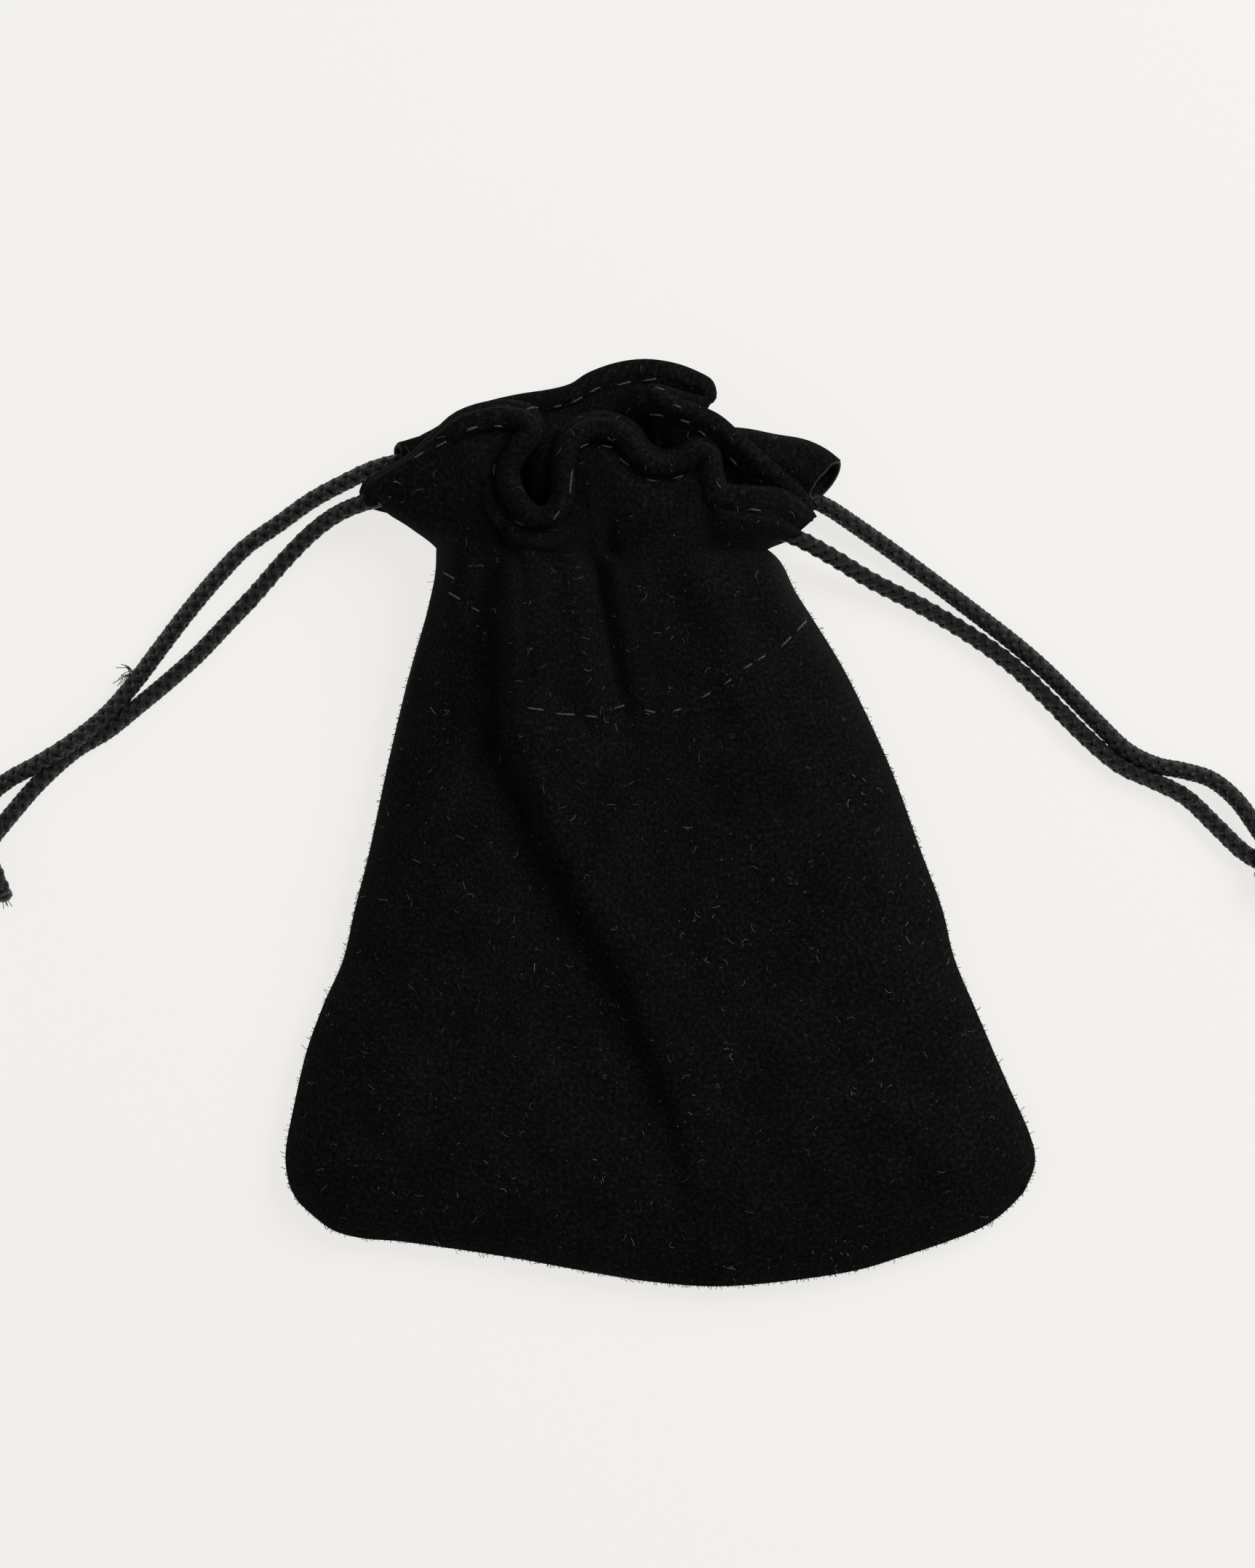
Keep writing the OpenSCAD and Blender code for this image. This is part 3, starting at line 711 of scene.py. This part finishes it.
def normal_of_path(path):
    """Unit vectors to the right of a path, in X and Y."""
    t = unit(np.gradient(path[:, :2], axis=0))
    return np.stack([t[:, 1], -t[:, 0]], axis=1)


def at_height(row, z):
    """A row with its heights replaced."""
    return np.column_stack([row[:, :2], z])


def shifted(row, out, offset, dz):
    moved = np.array(row, float)
    moved[:, :2] += out * np.reshape(offset, (-1, 1))
    moved[:, 2] += dz
    return moved


neck_gathers = 9         # small pleats across the front's neck, across its hidden hem and the back
hem_gathers = 14
back_gathers = 12
front_header_rows = 118  # mesh rows from the neck over the lip to the end of the hem
back_header_rows = 96


def gathers(columns, height, count, lift):
    """Heights of small pleats across a row, which fade out at the seams."""
    u = np.linspace(0, 1, columns)
    ends = np.minimum(1, 6 * np.sin(math.pi * u))
    wander = 0.35 * np.sin(2 * math.pi * 1.7 * u + 1)
    return ends * (lift + height * np.sin(2 * math.pi * count * u + 2 * wander))


def joined(body, rows, count):
    """The body's grid from the bottom edge up, then a header through rows, of which two overlap."""
    header = spline(np.stack(rows), count)
    keep = np.linspace(0, len(rows) - 1, count) > 1.001
    return np.concatenate([body[::-1], header[keep]])


def front_grid():
    """The whole front cloth: bottom edge, body, header, rolled lip and the hem inside."""
    columns = (len(front_lip) - 1) * column_steps + 1
    neck = spline(front_neck, columns)
    plan = body_plan(columns, neck)
    flat = draw_in(plan.reshape(-1, 2))
    z = top_height(flat).reshape(body_rows, columns)
    s = np.linspace(0, 1, body_rows)[:, None]
    z += (neck[None, :, 2] - z[:1]) * (1 - s) ** 7
    z += gathers(columns, 0.3, neck_gathers, 0.0) * (1 - s) ** 5
    body = np.concatenate([flat.reshape(body_rows, columns, 2), z[..., None]], axis=2)
    lip = spline(front_lip, columns)
    pleats = spline(front_pleats, columns)
    out = normal_of_path(lip)
    half = neck * 0.45 + pleats * 0.55
    half[:, 2] += 0.35
    neck[:, 2] += gathers(columns, 0.3, neck_gathers, 0.0)
    rolled = np.clip(spline(front_rolled, columns), 0, 1)
    rows = [body[3], body[0], half, pleats]
    for a, b, c, d in zip(rolled_out, folded_out, rolled_dz, folded_dz):
        away = b + (a - b) * rolled
        rows.append(shifted(lip, out, away, d + (c - d) * rolled))
    deep_z = np.maximum(neck[:, 2] - 4.6, 2.6) + gathers(columns, 1.6, hem_gathers, 0.0)
    deep = at_height(neck + np.array([0, 1.5, 0]), deep_z)
    below_z = np.maximum(body[10][:, 2] - 3.4, 2.4) + gathers(columns, 1.2, hem_gathers, 0.0)
    below = at_height(body[10], below_z)
    hem = at_height(body[22], np.maximum(body[22][:, 2] - 1.6, 2.2))
    rows += [deep, below, hem]
    return joined(body, rows, front_header_rows)


def back_grid():
    """The whole back cloth: bottom edge, body, header, rolled lip and the hem inside."""
    columns = (len(back_lip) - 1) * column_steps + 1
    u = np.linspace(0, 1, columns)[:, None]
    neck = np.concatenate(
        [
            (1 - u) * np.array(back_neck_left) + u * np.array(back_neck_right),
            np.full((columns, 1), inset + 0.1),
        ],
        axis=1,
    )
    neck[:, 2] += gathers(columns, 1.45, back_gathers, 1.45)
    plan = body_plan(columns, neck)
    flat = draw_in(plan.reshape(-1, 2))
    z = under_height(flat).reshape(body_rows, columns)
    s = np.linspace(0, 1, body_rows)[:, None]
    z += (neck[None, :, 2] - z[:1]) * (1 - s) ** 2.2
    z = np.maximum(z, inset + 0.05)
    body = np.concatenate([flat.reshape(body_rows, columns, 2), z[..., None]], axis=2)
    lip = spline(back_lip, columns)
    inner = spline(back_inner, columns)
    down = unit(inner - lip)
    down[:, 2] = 0
    mid_z = inset + 0.3 + 0.35 * np.maximum(0, lip[:, 2] - 5.2)
    mid = at_height(lip + 0.6 * (neck - lip), mid_z + gathers(columns, 1.4, back_gathers, 1.4))
    low = at_height(lip + 0.2 * (neck - lip), np.maximum(inset + 0.15, lip[:, 2] - 3.4))
    under_lip = at_height(lip + 0.6 * down, lip[:, 2] - 1.5)
    edge = lip - 0.35 * down
    over_lip = at_height(lip + 0.75 * down, lip[:, 2] + 0.75)
    second = at_height(
        lip + 0.55 * (inner - lip), lip[:, 2] + 0.45 * (inner[:, 2] - lip[:, 2]) + 0.35
    )
    deep = inner + 0.5 * (neck - inner)
    deep_z = 4.2 + 0.35 * np.maximum(0, inner[:, 2] - 5.5)
    deep_z += gathers(columns, 1.3, back_gathers, 0.3) + 6.6 * bell(deep[:, 0] + 16.6, 4.5)
    deep = at_height(deep, deep_z)
    bottom = at_height(neck, 4.4 + gathers(columns, 1.2, back_gathers, 0.0))
    hem = at_height(body[8], np.maximum(1.7, body[8][:, 2] + 0.95))
    rows = [body[3], body[0], mid, low, under_lip, edge, over_lip, second, inner, deep, bottom, hem]
    return joined(body, rows, back_header_rows)


# ---- Regions of the cloth; only the lower one follows a part of the model ----
hub = (-7.0, -12.0)      # the header spreads from above this point when the mouth opens
tips = {"right": (20.5, 46.0), "left": (-33.0, 46.0)}


def region_of(x, y):
    """The name of the region that a point belongs to."""
    if y < hub[1]:
        return "lower"
    side = "right" if x > hub[0] else "left"
    tip = tips[side]
    across = (x - hub[0]) / (tip[0] - hub[0])
    along = (y - hub[1]) / (tip[1] - hub[1])
    return ("top_" if across < along else "side_") + side


def attach(obj, region):
    """Makes a piece of the lower region follow the pouch; a piece of any other region only has its
    transform baked in.
    """
    if region == "lower":
        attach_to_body(obj, "bag")
        return
    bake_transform(obj)


REGIONS = ("lower", "side_left", "side_right", "top_left", "top_right")
cloth_trees = []


def sheet_piece(name, region, p, normals, flats, faces, material, nodes):
    """One piece of cloth with its thickness, made from the middle of the sheet."""
    n = len(p)
    both = np.concatenate([p + normals * cloth_t / 2, p - normals * cloth_t / 2])
    edges = {}
    for f in faces:
        for a, b in zip(f, f[1:] + f[:1]):
            key = (min(a, b), max(a, b))
            edges[key] = None if key in edges else (a, b)
    rim = [e for e in edges.values() if e is not None]
    over = [tuple(f) for f in faces]
    under = [tuple(i + n for i in reversed(f)) for f in faces]
    walls = [(b, a, a + n, b + n) for a, b in rim]
    custom = [normals[i] for f in over for i in f] + [-normals[i - n] for f in under for i in f]
    for a, b, c, _ in walls:
        custom += [unit(np.cross(both[b] - both[a], both[c] - both[b]))] * 4
    uv = np.concatenate([flats, flats]) / cut_scale
    obj = make_object(f"{name}_{region}", both, over + under + walls, uv, material, custom)
    attach(obj, region)
    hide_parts(*nodes)
    cloth_trees.append(BVHTree.FromPolygons([Vector(v) for v in both], over + under + walls))
    return obj


def cloth(name, grid, cut, material, held, stands_for, rests_on):
    """Cuts a sheet, given as a grid of points and their places in the flat cut, into regions."""
    rows, columns = grid.shape[:2]
    bm = bmesh.new()
    flat_layer = bm.verts.layers.float_vector.new("flat")
    verts = []
    for p, c in zip(grid.reshape(-1, 3), cut.reshape(-1, 2)):
        v = bm.verts.new(p)
        v[flat_layer] = (c[0], c[1], 0)
        verts.append(v)
    for i in range(rows - 1):
        for j in range(columns - 1):
            a = i * columns + j
            bm.faces.new((verts[a], verts[a + 1], verts[a + 1 + columns], verts[a + columns]))
    planes = [((0, hub[1]), (0, 1)), ((hub[0], 0), (1, 0))]
    for tip in tips.values():
        planes.append((hub, (-(tip[1] - hub[1]), tip[0] - hub[0])))
    for at, normal in planes:
        bmesh.ops.bisect_plane(
            bm, geom=bm.verts[:] + bm.edges[:] + bm.faces[:], dist=1e-4,
            plane_co=(*at, 0), plane_no=Vector((*normal, 0)).normalized(),
        )
    bm.normal_update()
    bm.verts.index_update()
    points = np.array([v.co for v in bm.verts])
    normals = np.array([v.normal for v in bm.verts])
    flats = np.array([v[flat_layer][:2] for v in bm.verts])
    groups = {r: [] for r in REGIONS}
    for f in bm.faces:
        c = f.calc_center_median()
        groups[region_of(c.x, c.y)].append([v.index for v in f.verts])
    bm.free()
    for region, faces in groups.items():
        used = sorted({i for f in faces for i in f})
        new = {old: k for k, old in enumerate(used)}
        faces = [[new[i] for i in f] for f in faces]
        sheet_piece(
            name, region, points[used], normals[used], flats[used], faces, material,
            stands_for[region],
        )


# Width and length of each panel's flat cut, as used for its UV map, without seam allowances. The back's
# real cut
# is about 11 mm longer: its gathers and its turned-in hem are modelled with too little cloth.
cut_w = 102.0
front_cut_l = 152.0
back_cut_l = 148.0


def cut_places(grid, width, length):
    """Where each point of the grid lies in the flat cut: even across, and by its rows along."""
    steps = np.linalg.norm(np.diff(grid, axis=0), axis=2).mean(axis=1)
    along = np.concatenate([[0], np.cumsum(steps)])
    along *= length / along[-1]
    across = np.linspace(-width / 2, width / 2, grid.shape[1])
    return np.stack(np.broadcast_arrays(across[None], along[:, None]), axis=2)


def panel(name, grid, cut, rests_on):
    """The front or the back of the pouch, as pieces of cloth that stand for the part's nodes."""
    stands_for = {"lower": [f"{name}_panel"]}
    for side in ("left", "right"):
        stands_for["side_" + side] = [f"{name}_panel", "mouth_end_" + side]
        stands_for["top_" + side] = [f"{name}_panel", f"{name}_hem", f"{name}_pleats_{side}"]
    held = {region: "laid" if region == "lower" else "gathered" for region in REGIONS}
    cloth(name, grid, cut, velvet, held, stands_for, rests_on)


front = front_grid()
back = back_grid()
panel("front", front, cut_places(front, cut_w, front_cut_l), ["back_panel"])
panel("back", back[:, ::-1], cut_places(back, cut_w, back_cut_l)[:, ::-1], ["floor"])


# ---- Open ends of the channels ----
raw_edge_r = 0.3


def open_end(name, region, axis, wide, high, set_back, stands_for):
    """A tapered tube of cloth along an axis, open at its last point, with its raw edge showing."""
    around = 36
    along = 22
    line = even(axis, along)
    _, side, up = frames(line)
    wide = spline(wide, along)[:, None]
    high = spline(high, along)[:, None]
    a = np.linspace(0, 2 * math.pi, around + 1)
    heading = unit(line[-1] - line[-2])
    late = np.linspace(0, 1, along)[:, None, None] ** 4
    grid = oval(line, side, up, wide, high, a)
    grid -= late * set_back * (0.5 + 0.5 * np.sin(a))[:, None] * heading
    crumple = 0.12 * np.sin(3 * a + 0.7) + 0.07 * np.sin(7 * a + 2)
    grid += unit(grid - line[:, None]) * crumple[:, None]
    round_it = np.linalg.norm(np.diff(grid, axis=1), axis=2).sum(axis=1).mean()
    long = lengths(line)[-1]
    u = np.linspace(0, round_it, around + 1)
    v = np.linspace(0, long, along)
    cut = np.stack(np.broadcast_arrays(u[None, :], v[:, None]), axis=2)
    w = around + 1
    corners = [i * w + j for i in range(along - 1) for j in range(around)]
    faces = [[c, c + 1, c + w + 1, c + w] for c in corners]
    across = np.gradient(grid, axis=1)
    across[:, 0] = across[:, -1] = grid[:, 1] - grid[:, -2]
    normals = unit(np.cross(across, np.gradient(grid, axis=0)))
    sheet_piece(
        name, region, grid.reshape(-1, 3), normals.reshape(-1, 3), cut.reshape(-1, 2), faces,
        velvet_inside, [stands_for],
    )
    raw = Soup()
    raw.add(*tube(np.concatenate([grid[-1], grid[-1][1:3]]), raw_edge_r, 6))
    attach(raw.make(name + "_raw_edge", raw_edge, "velvet"), region)


open_end(
    "right_channel_end", "top_right",
    [(7, 50.5, 5.2), (12, 50.1, 5.4), (17.3, 49.1, 5.2), (20.8, 47.5, 4.8), (23.1, 45.8, 4.5)],
    [2.9, 2.9, 2.7, 3.1, 3.05], [2.9, 3.0, 2.8, 2.5, 2.2], 2.4, "mouth_end_right",
)
open_end(
    "left_channel_end", "top_left", [(-24, 50, 5), (-30, 50.5, 4.8), (-36.1, 50.1, 4.3)],
    [3.0, 2.3, 1.25], [2.6, 2.1, 1.4], 1.2, "mouth_end_left",
)


# ---- Cords inside the channel ----
loop_routes = {
    "left_cord_loop": [
        (-24, 46.7, 12.2), (-22.4, 43.4, 11.2), (-17, 39.9, 10.6), (-12, 41.4, 10.6),
        (-8.6, 45.6, 11.2), (-5.2, 45.6, 11), (-1, 42.6, 10.6), (4, 42.6, 10.2),
        (8.5, 43.2, 8.8), (11.2, 43.8, 6.2), (9.5, 45, 3), (4, 46.6, 2.6), (-7, 47, 2.5),
        (-17, 47, 2.5), (-22, 47.1, 2.5),
    ],
    "right_cord_loop": [
        (9, 41.5, 12.2), (4, 40.4, 10.6), (-2, 40.4, 10.4), (-7, 42.4, 10.6), (-12, 38.8, 10.2),
        (-19, 38.8, 10), (-24.4, 41.6, 9.8), (-27.6, 43, 7.4), (-26, 42.6, 3.8),
        (-20, 41.8, 2.6), (-7, 41.5, 2.5), (3, 41.5, 2.5), (9, 41.7, 2.5),
    ],
}
for node, route in loop_routes.items():
    line = even(route, 240)
    halves = {"top_left": Soup(), "top_right": Soup()}
    first = 0
    for i in range(1, len(line)):
        turned = (line[i][0] < hub[0]) != (line[first][0] < hub[0])
        if turned or i == len(line) - 1:
            half = "top_left" if line[first][0] < hub[0] else "top_right"
            braid(halves[half], line[first : i + 1])
            first = i
    for half, soup in halves.items():
        piece = soup.make(f"{node}_{half}", satin, "satin_cord")
        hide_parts(node)
        attach(piece, half)


# ---- Stitches ----
def surface(x, y, down=True):
    """Height of the cloth that is seen from above, or from below, at a place; or None."""
    start = Vector((x, y, 40 if down else -20))
    hits = [tree.ray_cast(start, Vector((0, 0, -1 if down else 1))) for tree in cloth_trees]
    seen = [(far, place.z) for place, _, _, far in hits if place is not None]
    return min(seen)[1] if seen else None


class Rows:
    """Small pieces sorted by the region they lie in, then made into one object for each."""

    def __init__(self):
        self.soups = {}

    def add(self, x, y, made):
        self.soups.setdefault(region_of(x, y), Soup()).add(*made)

    def make(self, name, material, slot, stands_for=()):
        for region, soup in self.soups.items():
            piece = soup.make(f"{name}_{region}", material, slot)
            if stands_for:
                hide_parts(*stands_for)
            attach(piece, region)


thread_r = 0.15


def stitch(rows, x0, y0, x1, y1, down=True, radius=thread_r):
    """One stitch laid over the cloth from one hole to the next."""
    count = 9
    points = []
    for i in range(count):
        t = i / (count - 1)
        x, y = x0 + (x1 - x0) * t, y0 + (y1 - y0) * t
        z = surface(x, y, down)
        if z is None:
            return
        lift = 0.1 - 0.6 * abs(2 * t - 1) ** 5
        points.append((x, y, max(radius + 0.05, z + (lift if down else -lift))))
    points = np.array(points)
    points[1:-1, 2] = 0.25 * points[:-2, 2] + 0.5 * points[1:-1, 2] + 0.25 * points[2:, 2]
    rows.add((x0 + x1) / 2, (y0 + y1) / 2, twisted(points, radius))


def twisted(line, radius):
    """A thread of two plies twisted round each other."""
    line = even(line, max(8, int(lengths(line)[-1] / 0.16)))
    _, side, up = frames(line)
    along = lengths(line)
    plies = Soup()
    for ply in range(2):
        a = 2 * math.pi * along / 1.1 + math.pi * ply
        run = line + 0.45 * radius * (np.cos(a)[:, None] * side + np.sin(a)[:, None] * up)
        plies.add(*tube(run, 0.6 * radius, 5))
    return plies.points, plies.faces, plies.uvs


stitch_rows = {
    "back_edge_stitches": [
        (-30.6, 50.6, -28.6, 51.6), (-26.4, 52.8, -24.4, 53.6), (-18.3, 55.9, -16.6, 56.4),
        (-14.8, 56.4, -13.3, 56.8), (-12.4, 56.9, -10.4, 58), (-9.9, 58.3, -8, 59.4),
        (-6.2, 59.4, -3.8, 60), (-2.7, 60, -0.3, 60.4), (-1, 59, 0.6, 58.6),
        (1.6, 56.6, 2.8, 56.1), (-1.5, 55.4, 0.6, 55.1),
        (2.4, 54.6, 4.1, 54.1), (5, 53.2, 6.2, 52.3), (9.2, 49.6, 10.4, 48.4),
    ],
    "front_edge_stitches": [
        (-33.4, 49.2, -31.8, 50.2), (-26.2, 53.1, -24.6, 53.5), (-22.6, 53.6, -21.2, 53.5),
        (-22.4, 48.8, -22.5, 46.8), (-19.8, 40.9, -18.2, 40.1), (-13.5, 42.3, -14.6, 40.7),
        (-11.9, 48, -12.3, 44), (-11, 50.6, -9.7, 51.3), (-8.2, 51, -6.3, 50.7),
        (-5.8, 49.4, -4, 48.1), (-2.1, 46.4, -0.5, 46.2), (1.4, 46.5, 3.2, 47),
        (11.6, 42.4, 13.6, 42.2),
    ],
    "front_hem_stitches": [
        (-29.6, 34.2, -27.5, 32.9), (-28.8, 31.4, -26.9, 30.2), (-25.7, 29.3, -24.3, 28.6),
        (-18.4, 15.7, -15.4, 15.3), (-14.6, 14.9, -11.2, 14.7), (-10.4, 14.6, -8.3, 14.4),
        (-6.5, 15.5, -4.7, 16.1), (-2.4, 15.4, -0.6, 15), (1.5, 15.1, 2.8, 15.6),
        (5.3, 16.9, 6.8, 17.8), (8.3, 18.7, 9.6, 19.6), (10.9, 20.8, 12.4, 21.7),
        (12.9, 22, 14.2, 22.8), (16, 23.7, 17.8, 25.5), (18.2, 25.9, 19.8, 27.6),
    ],
}
for node, runs in stitch_rows.items():
    rows = Rows()
    for run in runs:
        stitch(rows, *run)
    rows.make(node + "_sewn", thread, "thread", [node])

under_row = Rows()
for k in range(14):
    x = -24 + 3.1 * k
    y = 27.5 + 0.6 * math.sin(k * 1.3)
    stitch(under_row, x, y, x + 2.1, y + 0.15, down=False)
under_row.make("back_hem_stitches_sewn", thread, "thread", ["back_hem_stitches"])

seam_pitch = 3.1
seam_long = 2.3
seam_bow = np.array([0.0, 0.12, 0.18, 0.12, 0.0])    # how far a stitch bows outwards
seam_rows = Rows()
seam_line = outline[3:-3]
seam_at = lengths(seam_line)


def on_seam(at, values):
    """X and Y of values given along the seam, at the distance or distances at."""
    return np.stack([np.interp(at, seam_at, values[:, c]) for c in (0, 1)], axis=-1)


for k in range(int(seam_at[-1] / seam_pitch)):
    run = on_seam(np.linspace(k * seam_pitch, k * seam_pitch + seam_long, 5), seam_line)
    run = run + unit(body_centre - run) * inset
    run = run - unit(body_centre - run) * seam_bow[:, None]
    run = np.concatenate([run, np.full((5, 1), seam_z)], axis=1)
    seam_rows.add(*run[2][:2], twisted(run, 0.2))
seam_rows.make("seam_thread_sewn", thread, "thread", ["seam_thread"])


# ---- Fluff on the seam and on the cord ----
def hair(start, heading, long, radius, bend):
    """A curved hair that stands off a surface."""
    start = np.array(start, float)
    side = np.array([-heading[1], heading[0], 0.0]) * bend
    mid = start + heading * long * 0.55 + side * long * 0.3
    tip = start + heading * long + side * long
    mid[2], tip[2] = max(mid[2], 0.15), max(tip[2], 0.15)
    return tube([start, mid, tip], radius, 4)


fuzz = Rows()
fuzz_gap = 0.2
seam_out = -unit(body_centre - seam_line)
for k in range(int(seam_at[-1] / fuzz_gap)):
    at = k * fuzz_gap + rng.uniform(-0.1, 0.1)
    x, y = on_seam(at, seam_line)
    out = unit(np.array([*on_seam(at, seam_out), rng.uniform(-0.5, 0.8)]))
    base = np.array([x, y, seam_z]) - out * 0.35
    long = 0.35 + rng.choice((0.08, 0.12, 0.16, 0.2, 0.25, 0.45))
    fuzz.add(x, y, hair(base, out, long, rng.uniform(0.025, 0.045), rng.gauss(0, 0.6)))
fuzz.make("seam_fuzz", velvet_inside, "velvet")

tuft = Soup()
tuft_at = (-71.9, 20.4, 1.9)
for _ in range(13):
    turn = math.radians(rng.uniform(95, 190))
    way = unit(np.array([math.cos(turn), math.sin(turn), rng.uniform(0, 0.5)]))
    at = [c + rng.uniform(-0.4, 0.4) for c in tuft_at]
    tuft.add(*hair(at, way, rng.uniform(0.9, 1.7), 0.055, rng.gauss(0, 1.1)))
worn = tuft.make("left_cord_upper_tuft", satin, "satin_cord")
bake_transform(worn)


# ---- Lint caught in the pile ----
def fibre(rows, x, y, down, long, radius):
    """A short curved fibre that lies on the cloth."""
    heading = rng.uniform(0, 2 * math.pi)
    bend = rng.gauss(0, 1.1)
    count = 6
    points = []
    for _ in range(count):
        z = surface(x, y, down)
        if z is None:
            return
        points.append((x, y, max(radius, z + (radius + 0.05) * (1 if down else -1))))
        heading += bend / count * 2
        x += math.cos(heading) * long / count
        y += math.sin(heading) * long / count
    z = [p[2] for p in points]
    if max(z) - min(z) > 0.8 * long + 0.3:
        return
    rows.add(*points[count // 2][:2], tube(points, radius, 4))


low_x, low_y, high_x, high_y = -51, -63, 51, 62
above_count = 1700
below_count = 260
fluff = Rows()
for _ in range(above_count):
    x, y = rng.uniform(low_x, high_x), rng.uniform(low_y, high_y)
    long = rng.choice((0.1, 0.12, 0.14, 0.16, 0.2, 0.25, 0.3, 0.4, 0.6, 0.8, 1.4))
    fibre(fluff, x, y, True, long, rng.uniform(0.018, 0.03))
for _ in range(below_count):
    x, y = rng.uniform(low_x, high_x), rng.uniform(low_y, high_y)
    fibre(fluff, x, y, False, rng.choice((0.4, 0.8, 1.4)), rng.uniform(0.03, 0.05))
fluff.make("lint", lint, "thread")

# ---- Floor and light ----
floor_size = 3.0
bpy.ops.mesh.primitive_plane_add(size=floor_size, location=(0, 0, 0))
floor = bpy.context.object
floor.name = "floor"
s = Shader("floor")
s.set(Roughness=0.9, Specular_IOR_Level=0.0, Emission_Strength=0.79)
s.main.inputs["Base Color"].default_value = (0.17, 0.167, 0.16, 1)
s.main.inputs["Emission Color"].default_value = (0.98, 0.965, 0.93, 1)
floor.data.materials.append(s.material)

world = bpy.data.worlds.new("studio")
world.use_nodes = True
background = world.node_tree.nodes["Background"].inputs
background["Color"].default_value = (1, 1, 1, 1)
background["Strength"].default_value = 0.16
bpy.context.scene.world = world


def softbox(name, place, size, power):
    light = bpy.data.lights.new(name, "AREA")
    light.shape = "SQUARE"
    light.size = size
    light.energy = power
    obj = bpy.data.objects.new(name, light)
    obj.location = place
    obj.rotation_euler = (-Vector(place)).to_track_quat("-Z", "Y").to_euler()
    bpy.context.scene.collection.objects.link(obj)


softbox("key", (0.55, 0.42, 0.55), 0.5, 5.8)
softbox("fill", (-0.6, 0.1, 0.7), 0.8, 1.5)
